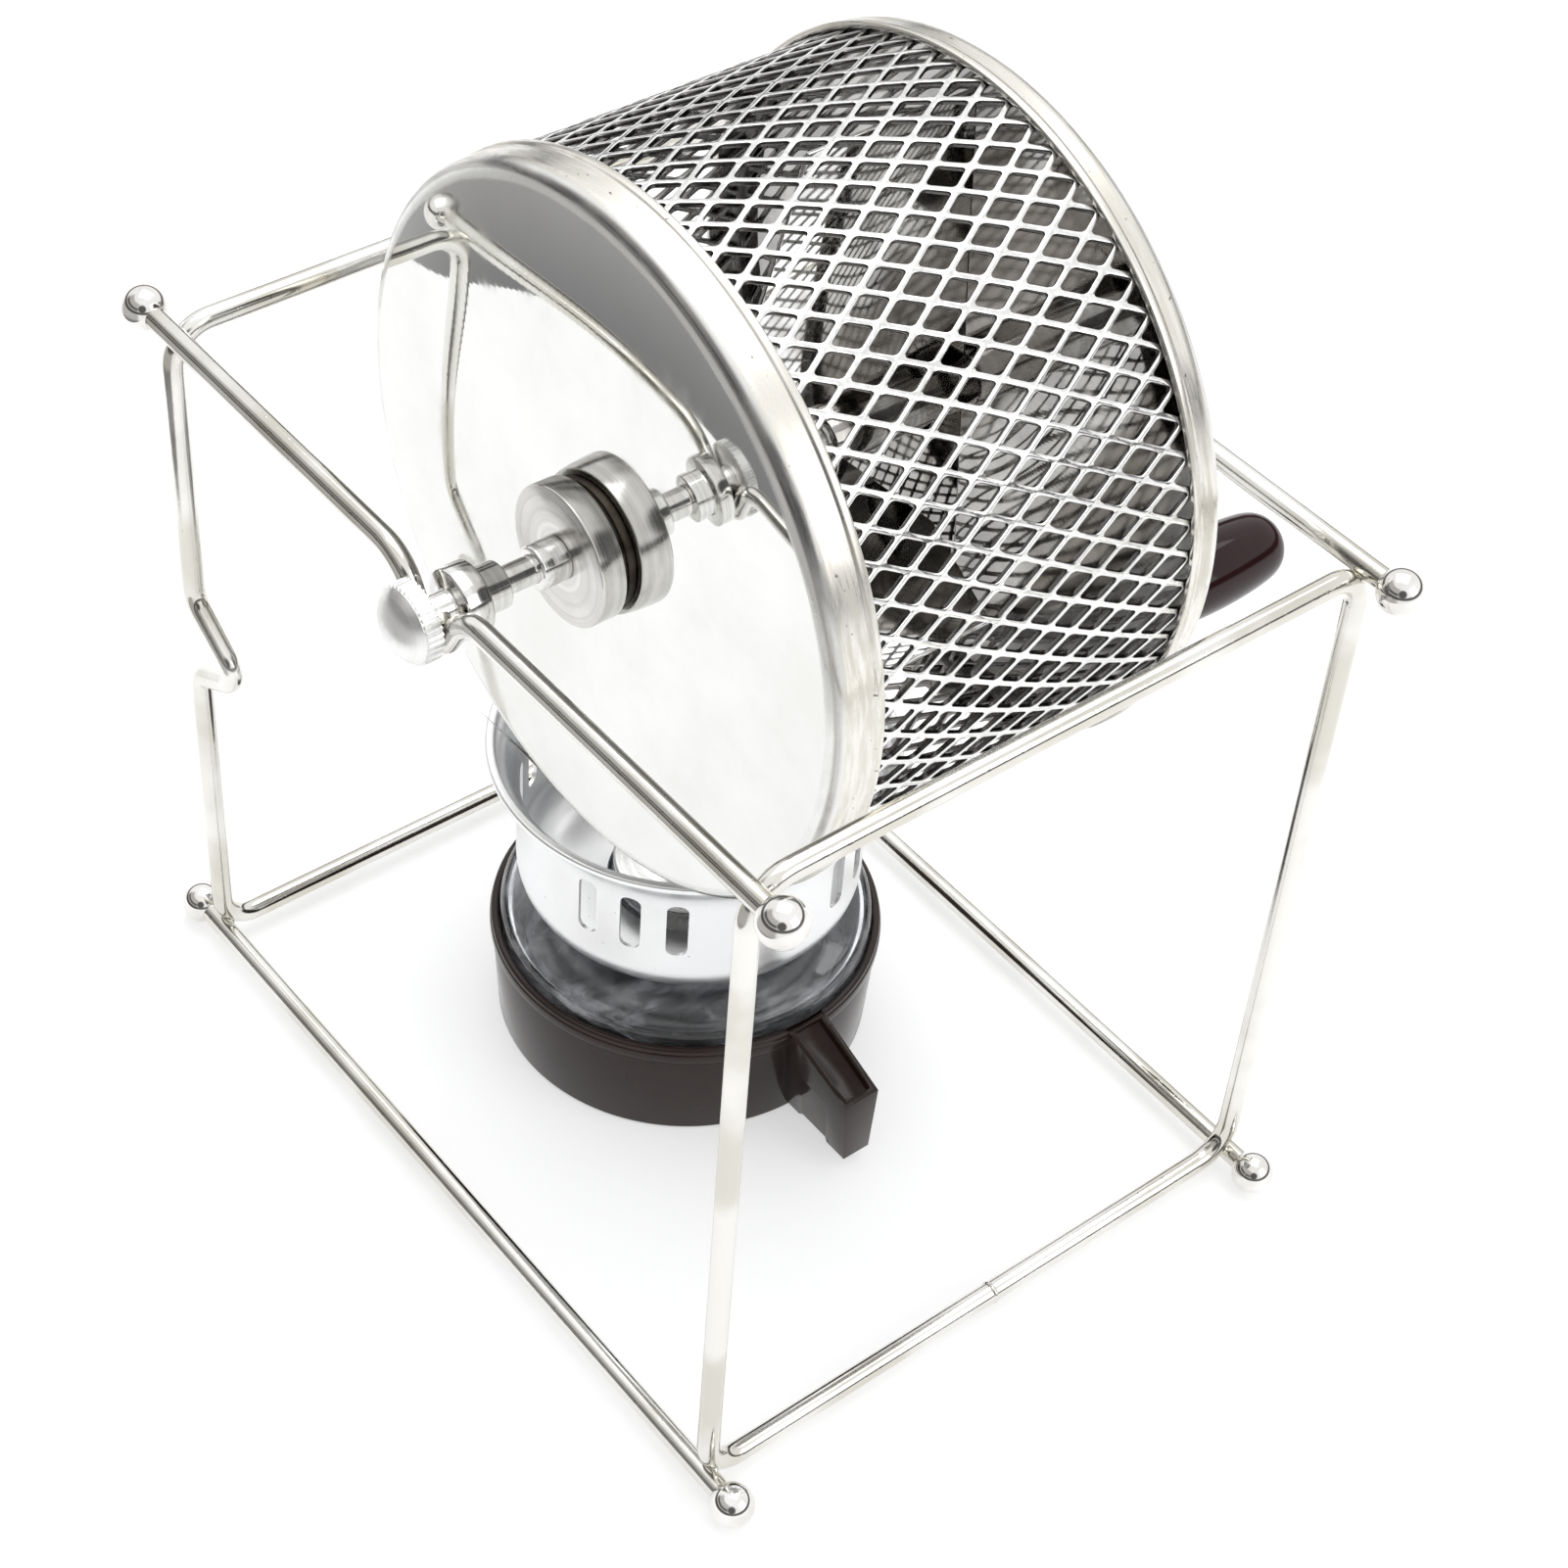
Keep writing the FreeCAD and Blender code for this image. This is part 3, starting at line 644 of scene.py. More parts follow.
@dataclass
class Workshop:
    """Turns bmeshes into finished pieces that ride on their bodies."""

    sharp: float = math.radians(34.0)
    materials: dict = field(default_factory=dict)

    def stock(self, finish: object) -> bpy.types.Material:
        """Material of a finish, made once.

        Args:
            finish: a finish from this file.

        Returns:
            Its material.
        """
        if finish.name not in self.materials:
            self.materials[finish.name] = finish.build()
        return self.materials[finish.name]

    def piece(self, shape: bmesh.types.BMesh, name: str, body: Body, finish: object,
              replaces: tuple = ()) -> bpy.types.Object:
        """Writes a bmesh to a new object, dresses it and lets it ride.

        Args:
            shape: the bmesh, in metres; it is freed.
            name: the piece's name.
            body: the body that it rides on.
            finish: the finish that dresses it.
            replaces: the CAD nodes that it stands for.

        Returns:
            The new object.
        """
        for face in shape.faces:
            face.smooth = True
        for edge in shape.edges:
            edge.smooth = edge.calc_face_angle(0.0) < self.sharp
        mesh = bpy.data.meshes.new(name)
        shape.to_mesh(mesh)
        shape.free()
        mesh.materials.append(self.stock(finish))
        made = bpy.data.objects.new(name, mesh)
        bpy.context.scene.collection.objects.link(made)
        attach(made, body.value)
        if replaces:
            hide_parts(*replaces)
        log.info("%s: %d faces on %s", name, len(mesh.polygons), body.value)
        return made


@dataclass(frozen=True)
class Lathe:
    """Turns profiles about an axis."""

    centre: Vector
    axis: Axis
    steps: int = 96

    def spot(self, radius: float, along: float) -> Vector:
        """Point of the profile's plane, in metres."""
        return (self.centre + Vector((radius, 0.0, 0.0)) + Vector(self.axis.value) * along) * MM

    def turn(self, corners: list[Corner], shape: bmesh.types.BMesh = None) -> bmesh.types.BMesh:
        """Spins a profile to a closed shape and eases its edges.

        Args:
            corners: the profile, closed on itself or ending on the axis at both ends.
            shape: a bmesh to add to, or None for a new one.

        Returns:
            The bmesh.
        """
        own = bmesh.new()
        verts = [own.verts.new(self.spot(c.radius, c.along)) for c in corners]
        pairs = list(zip(verts, verts[1:]))
        if corners[0].radius > 0 or corners[-1].radius > 0:
            pairs.append((verts[-1], verts[0]))
        edges = [own.edges.new(pair) for pair in pairs]
        bmesh.ops.spin(own, geom=verts + edges, cent=self.centre * MM, axis=self.axis.value, dvec=(0, 0, 0),
                       angle=FULL, steps=self.steps, use_merge=True, use_duplicate=False)
        bmesh.ops.remove_doubles(own, verts=own.verts, dist=MERGE)
        bmesh.ops.dissolve_degenerate(own, edges=own.edges, dist=MERGE)
        bmesh.ops.recalc_face_normals(own, faces=own.faces)
        for corner in corners:
            if corner.ease > 0 and corner.radius > 0:
                self._ease(own, corner)
        return merged(own, shape)

    def _ease(self, shape: bmesh.types.BMesh, corner: Corner) -> None:
        """Rounds the ring that one corner made.

        Args:
            shape: the turned bmesh.
            corner: the corner of the profile.
        """
        def on_ring(vert: bmesh.types.BMVert) -> bool:
            """Tells if a vertex lies on the ring.

            Args:
                vert: the vertex.

            Returns:
                True if it does.
            """
            away = vert.co - self.centre * MM
            along = away.dot(Vector(self.axis.value))
            radius = (away - Vector(self.axis.value) * along).length
            return max(abs(along - corner.along * MM), abs(radius - corner.radius * MM)) < 2 * MERGE

        ring = [e for e in shape.edges if on_ring(e.verts[0]) and on_ring(e.verts[1])]
        rounded(shape, ring, corner.ease, corner.cuts)


def merged(own: bmesh.types.BMesh, shape: bmesh.types.BMesh = None) -> bmesh.types.BMesh:
    """Adds one bmesh to another.

    Args:
        own: the bmesh that is added, and freed if there is another.
        shape: the bmesh to add to, or None.

    Returns:
        The bmesh that holds both.
    """
    if shape is None:
        return own
    spare = bpy.data.meshes.new("spare")
    own.to_mesh(spare)
    own.free()
    shape.from_mesh(spare)
    bpy.data.meshes.remove(spare)
    return shape


def whole(shape: bmesh.types.BMesh) -> list:
    """Everything that a bmesh holds."""
    return shape.verts[:] + shape.edges[:] + shape.faces[:]


def verts_in(geometry: list) -> list:
    """Vertices among mixed geometry."""
    return [g for g in geometry if isinstance(g, bmesh.types.BMVert)]


def rounded(shape: bmesh.types.BMesh, picked: list, offset: float, cuts: int, affect: str = "EDGES") -> None:
    """Rounds edges, or corners of faces.

    Args:
        shape: the bmesh.
        picked: the edges, or the vertices.
        offset: how far from them the rounding begins.
        cuts: its segments.
        affect: EDGES or VERTICES.
    """
    bmesh.ops.bevel(shape, geom=picked, offset=offset * MM, offset_type="OFFSET", segments=cuts, profile=0.5,
                    affect=affect, material=-1, clamp_overlap=True)


def thicken(shape: bmesh.types.BMesh, faces: list, travel: Vector) -> None:
    """Pulls faces out to a solid.

    Args:
        shape: the bmesh.
        faces: the faces.
        travel: how far, and which way.
    """
    grown = bmesh.ops.extrude_face_region(shape, geom=faces)["geom"]
    bmesh.ops.translate(shape, verts=verts_in(grown), vec=travel * MM)
    bmesh.ops.recalc_face_normals(shape, faces=shape.faces)


@dataclass(frozen=True)
class WireBender:
    """Draws a round wire along straight runs and bends."""

    radius: float
    sides: int = 24
    step: float = math.radians(7.5)

    def ring(self, shape: bmesh.types.BMesh, place: Vector, heading: Vector) -> list:
        """Circle of edges square to a heading, at the wire's start.

        Args:
            shape: the wire's bmesh.
            place: the circle's middle.
            heading: the way that the wire starts.

        Returns:
            The circle's edges.
        """
        turn = heading.to_track_quat("Z", "X").to_matrix().to_4x4()
        made = bmesh.ops.create_circle(shape, cap_ends=False, segments=self.sides, radius=self.radius * MM,
                                       matrix=Matrix.Translation(place * MM) @ turn)
        return self._edges(made["verts"])

    @staticmethod
    def _edges(verts: list) -> list:
        """Edges that join the given vertices among themselves."""
        inside = set(verts)
        return [e for e in {e for v in verts for e in v.link_edges} if e.verts[0] in inside and e.verts[1] in inside]

    def run(self, shape: bmesh.types.BMesh, edges: list, travel: Vector) -> list:
        """Carries a ring straight on.

        Args:
            shape: the wire's bmesh.
            edges: the ring.
            travel: how far, and which way.

        Returns:
            The far ring's edges.
        """
        verts = verts_in(bmesh.ops.extrude_edge_only(shape, edges=edges)["geom"])
        bmesh.ops.translate(shape, verts=verts, vec=travel * MM)
        return self._edges(verts)

    def bend(self, shape: bmesh.types.BMesh, edges: list, centre: Vector, axis: Vector, angle: float) -> list:
        """Carries a ring round a bend.

        Args:
            shape: the wire's bmesh.
            edges: the ring.
            centre: a point on the bend's axis.
            axis: the bend's axis.
            angle: how far it turns.

        Returns:
            The far ring's edges.
        """
        verts = list({v for e in edges for v in e.verts})
        swept = bmesh.ops.spin(shape, geom=verts + edges, cent=centre * MM, axis=axis, dvec=(0, 0, 0), angle=angle,
                               steps=max(2, round(angle / self.step)), use_merge=False, use_duplicate=False)
        return self._edges(verts_in(swept["geom_last"]))

    def draw(self, points: list[Vector], radii: dict[int, float], closed: bool = False) -> bmesh.types.BMesh:
        """Draws the whole wire.

        Args:
            points: corners of the route; a closed route starts in the middle of a run.
            radii: bend radius of the wire's middle at each corner that bends.
            closed: True for an endless wire.

        Returns:
            The wire's bmesh.
        """
        shape = bmesh.new()
        route = points + points[:1] if closed else points
        here = route[0]
        edges = self.ring(shape, here, (route[1] - route[0]).normalized())
        for i in range(1, len(route)):
            heading = (route[i] - route[i - 1]).normalized()
            if i not in radii or i == len(route) - 1:
                edges = self.run(shape, edges, route[i] - here)
                here = route[i]
                continue
            onward = (route[i + 1] - route[i]).normalized()
            angle = heading.angle(onward)
            reach = radii[i] * math.tan(angle / 2)
            start = route[i] - heading * reach
            edges = self.run(shape, edges, start - here)
            axis = heading.cross(onward).normalized()
            centre = start + axis.cross(heading) * radii[i]
            edges = self.bend(shape, edges, centre, axis, angle)
            here = route[i] + onward * reach
        if closed:
            bmesh.ops.remove_doubles(shape, verts=shape.verts, dist=10 * MERGE)
        else:
            bmesh.ops.holes_fill(shape, edges=shape.edges, sides=0)
        bmesh.ops.recalc_face_normals(shape, faces=shape.faces)
        return shape


# Sub-assemblies


@dataclass
class WireStand:
    """Two endless side loops, four rails with ball ends and two saddles."""

    wire: float = 4.3
    ball: float = 8.8
    half_rail: float = 95.0
    rail_y: float = 68.1
    low: float = 4.4
    high: float = 162.76
    loop_x: float = 86.5
    inset: float = 0.41
    corner: float = 8.0
    saddle_flare: float = math.radians(30.0)
    saddle_shoulder: float = 10.0
    seat: float = 5.33
    rest_bottom: float = 77.4
    rest_height: float = 86.7
    rest_top: float = 97.9
    rest_reach: float = 16.5
    rest_bends: tuple = (3.5, 4.2, 6.0)
    weld: float = 1.15
    weld_inset: float = 1.35
    weld_stretch: float = 1.9
    seam_y: float = 3.2
    finish: PlatedWire = field(default_factory=PlatedWire)

    def build(self, shop: Workshop) -> None:
        """Makes every piece of the stand.

        Args:
            shop: the workshop that writes the pieces.
        """
        for side, x, inward in (("left", -self.loop_x, True), ("right", self.loop_x, False)):
            shop.piece(self.loop(x, inward), f"{side}_loop_wire", Body.FRAME, self.finish,
                       (f"{side}_side_loop",))
        for end, y in (("front", -self.rail_y), ("rear", self.rail_y)):
            shop.piece(self.top_rail(y), f"{end}_saddle_rail_wire", Body.FRAME, self.finish,
                       (f"{end}_top_rail",))
            shop.piece(self.bottom_rail(y), f"{end}_floor_rail_wire", Body.FRAME, self.finish,
                       (f"{end}_bottom_rail",))
        shop.piece(self.balls(self.high), "upper_rail_balls", Body.FRAME, PlatedBall(),
                   ("top_ball_ends",))
        shop.piece(self.balls(self.low), "lower_rail_balls", Body.FRAME, PlatedBall(),
                   ("foot_balls",))
        shop.piece(self.welds(), "loop_welds", Body.FRAME, self.finish)

    def bender(self) -> WireBender:
        """Bender for the stand's wire."""
        return WireBender(self.wire / 2)

    def loop(self, x: float, inward: bool) -> bmesh.types.BMesh:
        """Side loop; the left one has the pouring rest in its front leg.

        Args:
            x: place of the loop.
            inward: True for the loop with the rest.

        Returns:
            The loop's bmesh.
        """
        low, high, leg = self.low + self.inset, self.high - self.inset, self.rail_y - self.inset
        points = [(x, 0, low), (x, -leg, low)]
        radii = {1: self.corner}
        if inward:
            points += [(x, -leg, self.rest_bottom), (x + self.rest_reach, -leg, self.rest_height),
                       (x, -leg, self.rest_top)]
            radii.update(enumerate(self.rest_bends, start=2))
        for place in ((x, -leg, high), (x, leg, high), (x, leg, low)):
            radii[len(points)] = self.corner
            points.append(place)
        return self.bender().draw([Vector(p) for p in points], radii, closed=True)

    def bottom_rail(self, y: float) -> bmesh.types.BMesh:
        """Straight rail on the floor."""
        return self.bender().draw([Vector((-self.half_rail, y, self.low)), Vector((self.half_rail, y, self.low))], {})

    def top_rail(self, y: float) -> bmesh.types.BMesh:
        """Rail that dips to a saddle in its middle.

        Args:
            y: place of the rail.

        Returns:
            The rail's bmesh.
        """
        bottom = AXIS_Z - self.seat / math.sin(self.saddle_flare)
        spread = (self.high - bottom) * math.tan(self.saddle_flare)
        points = [(-self.half_rail, y, self.high), (-spread, y, self.high), (0.0, y, bottom),
                  (spread, y, self.high), (self.half_rail, y, self.high)]
        return self.bender().draw([Vector(p) for p in points],
                                  {1: self.saddle_shoulder, 2: self.seat, 3: self.saddle_shoulder})

    def balls(self, z: float) -> bmesh.types.BMesh:
        """Four balls at one height, on the rails' ends.

        Args:
            z: height of their middles.

        Returns:
            The balls' bmesh.
        """
        shape = bmesh.new()
        for side in (-1, 1):
            for y in (-self.rail_y, self.rail_y):
                place = Matrix.Translation(Vector((side * self.half_rail, y, z)) * MM)
                bmesh.ops.create_uvsphere(shape, u_segments=48, v_segments=24, radius=self.ball / 2 * MM,
                                          matrix=place @ Matrix.Rotation(math.pi / 2, 4, "Y"))
        return shape

    def welds(self) -> bmesh.types.BMesh:
        """Small beads of weld where the loops meet the rails.

        Returns:
            The beads' bmesh.
        """
        shape = bmesh.new()
        for x in (-self.loop_x, self.loop_x):
            for side in (-1, 1):
                for z, way in ((self.low, 1), (self.high, -1)):
                    middle = Vector((x, side * (self.rail_y - self.weld_inset), z + way * self.weld_inset)) * MM
                    place = Matrix.Translation(middle) @ Matrix.Diagonal((self.weld_stretch, 1.0, 1.0, 1.0))
                    bmesh.ops.create_icosphere(shape, subdivisions=3, radius=self.weld * MM, matrix=place)
        bead = Matrix.Translation(Vector((self.loop_x, self.seam_y, self.low + self.inset)) * MM)
        bmesh.ops.create_uvsphere(shape, u_segments=32, v_segments=16, radius=self.wire * 0.56 * MM,
                                  matrix=bead @ Matrix.Diagonal((1.0, 0.45, 1.0, 1.0)))
        return shape


@dataclass
class ExpandedDrum:
    """Expanded sheet rolled to a tube: staggered diamond openings with rounded corners."""

    radius: float = 68.0
    sheet: float = 0.9
    around: int = 66
    pitch: float = 11.2
    strand: float = 0.95
    corner: float = 0.95
    start: float = -34.1
    end: float = 48.8

    def build(self, shop: Workshop) -> None:
        """Makes the mesh tube.

        Args:
            shop: the workshop that writes the pieces.
        """
        made = shop.piece(self.tube(), "expanded_mesh_tube", Body.DRUM, ExpandedSteel(),
                          ("drum_mesh",))
        wall = made.modifiers.new("sheet", "SOLIDIFY")
        wall.thickness = self.sheet * MM
        wall.offset = -1.0
        wall.use_even_offset = True
        edge = made.modifiers.new("rounding", "BEVEL")
        edge.width = 0.16 * MM
        edge.segments = 1
        edge.limit_method = "ANGLE"
        edge.angle_limit = math.radians(50.0)

    def diamond(self, shape: bmesh.types.BMesh, share: float, along: float, filled: bool) -> list:
        """Flat diamond in the plane that touches the tube's top.

        Args:
            shape: the bmesh that it is added to.
            share: its size against one opening with its strands.
            along: Y of its middle.
            filled: True for a face, False for its edges only.

        Returns:
            Its vertices.
        """
        half = math.pi * self.radius / self.around
        place = Matrix.Translation(Vector((0.0, along, AXIS_Z + self.radius)) * MM)
        size = Matrix.Diagonal((half * share * MM, self.pitch / 2 * share * MM, 1.0, 1.0))
        return bmesh.ops.create_circle(shape, cap_ends=filled, segments=4, radius=1.0, matrix=place @ size)["verts"]

    def opening(self, shape: bmesh.types.BMesh, along: float) -> None:
        """Rim of one opening: a diamond of strands round a diamond hole with rounded corners.

        Args:
            shape: an empty bmesh.
            along: Y of its middle.
        """
        half = math.pi * self.radius / self.around
        span = half * self.pitch / 2 / math.hypot(half, self.pitch / 2)
        hole = self.diamond(shape, 1.0 - self.strand / 2 / span, along, True)
        rounded(shape, hole, self.corner, 3, "VERTICES")
        bmesh.ops.delete(shape, geom=shape.faces[:], context="FACES_ONLY")
        inner = set(shape.edges)
        self.diamond(shape, 1.0, along, False)
        bmesh.ops.subdivide_edges(shape, edges=[e for e in shape.edges if e not in inner], cuts=1)
        bmesh.ops.bridge_loops(shape, edges=shape.edges[:])
        for vert in shape.verts:
            angle = vert.co.x / (self.radius * MM)
            out = self.radius * MM
            vert.co = Vector((out * math.sin(angle), vert.co.y, AXIS_Z * MM + out * math.cos(angle)))

    def tube(self) -> bmesh.types.BMesh:
        """One opening's rim, repeated round the tube and along it, without thickness.

        Returns:
            The tube's bmesh.
        """
        shape = bmesh.new()
        half = math.pi / self.around
        first = self.start - self.pitch
        self.opening(shape, first)
        centre = DRUM * MM
        bmesh.ops.spin(shape, geom=whole(shape), cent=centre, axis=(0.0, 1.0, 0.0), dvec=(0, 0, 0),
                       angle=FULL * (self.around - 1) / self.around, steps=self.around - 1, use_merge=False,
                       use_duplicate=True)
        row = whole(shape)
        count = math.ceil((self.end - first) / (self.pitch / 2)) + 1
        for i in range(1, count):
            verts = verts_in(bmesh.ops.duplicate(shape, geom=row)["geom"])
            bmesh.ops.rotate(shape, verts=verts, cent=centre, matrix=Matrix.Rotation(half * (i % 2), 3, "Y"))
            bmesh.ops.translate(shape, verts=verts, vec=Vector((0.0, i * self.pitch / 2, 0.0)) * MM)
        bmesh.ops.remove_doubles(shape, verts=shape.verts, dist=20 * MERGE)
        for place, way in ((self.start, -1.0), (self.end, 1.0)):
            bmesh.ops.bisect_plane(shape, geom=whole(shape), plane_co=Vector((0.0, place, 0.0)) * MM,
                                   plane_no=(0.0, way, 0.0), clear_outer=True)
        bmesh.ops.recalc_face_normals(shape, faces=shape.faces)
        if sum(f.normal.dot(f.calc_center_median() - centre) for f in shape.faces) < 0:
            bmesh.ops.reverse_faces(shape, faces=shape.faces)
        return shape


@dataclass
class DrumCaps:
    """Pressed caps with a rounded shoulder, a skirt and a rolled hem."""

    radius: float = 69.15
    hem: float = 0.45
    sheet: float = 0.8
    front: float = -36.1
    rear: float = 50.8
    front_depth: float = 9.8
    rear_depth: float = 7.8
    hem_width: float = 2.0
    fill_hole: float = 10.5
    shaft: float = 4.0

    def build(self, shop: Workshop) -> None:
        """Makes both caps.

        Args:
            shop: the workshop that writes the pieces.
        """
        lathe = Lathe(DRUM, Axis.ALONG_DRUM, 160)
        shop.piece(lathe.turn(self.profile(self.front, 1, self.front_depth, self.fill_hole)), "front_cap_sheet",
                   Body.DRUM, MirrorSheet("front_mirror", self.front, -1.0),
                   ("front_cap",))
        shop.piece(lathe.turn(self.profile(self.rear, -1, self.rear_depth, self.shaft)), "rear_cap_sheet",
                   Body.DRUM, MirrorSheet("rear_mirror", self.rear, 1.0),
                   ("rear_cap",))

    def profile(self, face: float, way: int, depth: float, hole: float) -> list[Corner]:
        """Section of one cap.

        Args:
            face: Y of its outer face.
            way: the way that its skirt runs along Y.
            depth: length of the skirt.
            hole: radius of the hole in its face.

        Returns:
            The profile's corners.
        """
        outer, inner = self.radius, self.radius - self.sheet
        edge, back = face + way * depth, face + way * self.sheet
        hem = face + way * (depth - self.hem_width)
        return [Corner(hole, face, 0.15), Corner(outer, face, 3.4, 8), Corner(outer, hem, 0.25),
                Corner(outer + self.hem, hem + way * self.hem, 0.3), Corner(outer + self.hem, edge, 0.45, 4),
                Corner(inner, edge, 0.3), Corner(inner, back, 2.6, 6), Corner(hole, back, 0.15)]


@dataclass
class DrumShaft:
    """Stepped shaft with its necks, knob, ring, plug, flange and boss."""

    stub: float = 2.65
    bar: float = 4.0
    neck: float = 3.1
    knob_rear: float = -70.4
    neck_rear: float = -64.9
    collar_rear: float = -59.9
    sleeve_rear: float = -54.6
    hub_front: float = -47.9
    plug_front: float = -42.2
    ring_front: float = -37.2
    cap_front: float = -36.1
    bar_front: float = -33.1
    cap_rear: float = 50.8
    collar_front: float = 60.35
    rear_neck_front: float = 65.35
    rear_neck_rear: float = 70.85
    boss_rear: float = 75.45
    crank_rear: float = 78.45
    nut: float = 4.0
    knob: float = 7.5
    knurl: float = 3.9
    ridges: int = 38
    groove: float = 0.5
    chamfer: float = 0.35
    dome: float = 3.2
    collar: float = 6.7
    sleeve: float = 4.4
    ring: float = 12.2
    ring_hole: float = 10.5
    plug: float = 13.4
    plug_step: float = 10.2
    plug_depth: float = 2.2
    plug_bore: float = 2.71
    hub: float = 4.2
    hub_end: float = 3.9
    flange: float = 11.0
    flange_depth: float = 2.5
    boss: float = 7.0

    def lathe(self, steps: int = 72) -> Lathe:
        """Lathe on the drum's axis."""
        return Lathe(DRUM, Axis.ALONG_DRUM, steps)

    def steel(self, name: str, **changes: object) -> TurnedSteel:
        """Turned finish about the drum's axis."""
        return TurnedSteel(name, DRUM, **changes)

    def build(self, shop: Workshop) -> None:
        """Makes every turned piece on the drum's axis.

        Args:
            shop: the workshop that writes the pieces.
        """
        turn = self.lathe().turn
        bright = self.steel("bright_turned", smooth=0.05, coarse=0.15, cut=0.012, light=(0.86, 0.855, 0.84),
                            dark=(0.66, 0.65, 0.63))
        satin = self.steel("satin_turned", smooth=0.13, coarse=0.24, cut=0.02, light=(0.74, 0.73, 0.71),
                           dark=(0.56, 0.55, 0.53))
        domed = self.steel("domed_turned", smooth=0.33, coarse=0.45, cut=0.01, light=(0.96, 0.96, 0.95),
                           dark=(0.86, 0.86, 0.85))
        front, rear = self.knob_rear - self.knurl, self.crank_rear + self.nut + PROUD
        shop.piece(turn([Corner(0, front), Corner(self.stub, front), Corner(self.stub, self.bar_front),
                         Corner(self.bar, self.bar_front, 0.3), Corner(self.bar, self.collar_front),
                         Corner(self.stub, self.collar_front), Corner(self.stub, rear, 0.25), Corner(0, rear)]),
                   "stepped_shaft", Body.DRUM, bright, ("drum_shaft",))
        shop.piece(turn([Corner(self.stub, self.knob_rear), Corner(self.neck, self.knob_rear, 0.1),
                         Corner(self.neck, self.neck_rear, 0.25), Corner(self.collar, self.neck_rear, 0.5),
                         Corner(self.collar, self.collar_rear, 0.35), Corner(self.sleeve, self.collar_rear, 0.15),
                         Corner(self.sleeve, self.sleeve_rear, 0.3), Corner(self.stub, self.sleeve_rear, 0.1)]),
                   "front_neck_collar", Body.DRUM, bright, ("front_neck",))
        shop.piece(turn([Corner(self.stub, self.collar_front), Corner(self.collar, self.collar_front, 0.5),
                         Corner(self.collar, self.rear_neck_front, 0.5), Corner(self.neck, self.rear_neck_front, 0.25),
                         Corner(self.neck, self.rear_neck_rear, 0.1), Corner(self.stub, self.rear_neck_rear)]),
                   "rear_neck_collar", Body.DRUM, bright, ("rear_neck",))
        shop.piece(self.thumb_nut(), "thumb_nut", Body.DRUM, domed, ("knurled_knob",))
        shop.piece(turn([Corner(self.ring_hole, self.ring_front), Corner(self.ring, self.ring_front, 0.3),
                         Corner(self.ring, self.cap_front, 0.2), Corner(self.ring_hole, self.cap_front)]),
                   "tinted_hole_ring", Body.DRUM, HeatTint(), ("hole_ring",))
        face, seat, step = self.plug_front, self.ring_front, self.ring_front + self.plug_depth
        shop.piece(turn([Corner(self.plug_bore, face), Corner(self.plug, face, 0.35), Corner(self.plug, seat, 0.25),
                         Corner(self.plug_step, seat, 0.2), Corner(self.plug_step, step, 0.3),
                         Corner(self.plug_bore, step)]),
                   "filler_plug", Body.PLUG, satin, ("fill_plug",))
        shop.piece(turn([Corner(self.plug_bore, self.hub_front), Corner(self.hub, self.hub_front, 0.6, 4),
                         Corner(self.hub, face - 0.35), Corner(self.hub_end, face - 0.1), Corner(self.hub_end, face),
                         Corner(self.plug_bore, face)]),
                   "filler_plug_hub", Body.PLUG, bright, ("plug_hub",))
        lip = self.cap_rear + self.flange_depth
        shop.piece(turn([Corner(self.bar, self.cap_rear), Corner(self.flange, self.cap_rear, 0.2),
                         Corner(self.flange, lip, 0.5), Corner(self.bar, lip, 0.2)]),
                   "cap_flange", Body.DRUM, satin, ("rear_flange",))
        shop.piece(turn([Corner(self.stub, self.rear_neck_rear), Corner(self.boss, self.rear_neck_rear, 0.5),
                         Corner(self.boss, self.boss_rear, 0.5), Corner(self.stub, self.boss_rear)]),
                   "crank_boss_ring", Body.DRUM, satin, ("crank_boss",))

    def thumb_nut(self) -> bmesh.types.BMesh:
        """Domed nut with a knurled band and a chamfer at each end of it.

        Returns:
            The nut's bmesh.
        """
        front = self.knob_rear - self.knurl
        root = self.knob - self.groove
        band = bmesh.new()
        middle = Vector((0, front + self.chamfer, AXIS_Z)) * MM
        place = Matrix.Translation(middle) @ Matrix.Rotation(-math.pi / 2, 4, "X")
        circle = bmesh.ops.create_circle(band, cap_ends=True, segments=4 * self.ridges, radius=self.knob * MM,
                                         matrix=place)["verts"]
        for i, vert in enumerate(circle):
            if i % 4 >= 2:
                vert.co = middle + (vert.co - middle) * (root / self.knob)
        thicken(band, band.faces[:], Vector((0, self.knurl - 2 * self.chamfer, 0)))
        core = self.lathe(96).turn(
            [Corner(0, front - self.dome), Corner(2.6, front - self.dome * 0.93), Corner(4.9, front - self.dome * 0.66),
             Corner(6.3, front - self.dome * 0.30), Corner(root + 0.1, front + 0.05), Corner(root + 0.1, front + 0.4),
             Corner(root + 0.1, self.knob_rear - 0.4), Corner(root - 0.6, self.knob_rear),
             Corner(self.stub, self.knob_rear), Corner(self.stub, front), Corner(0, front)])
        return merged(band, core)


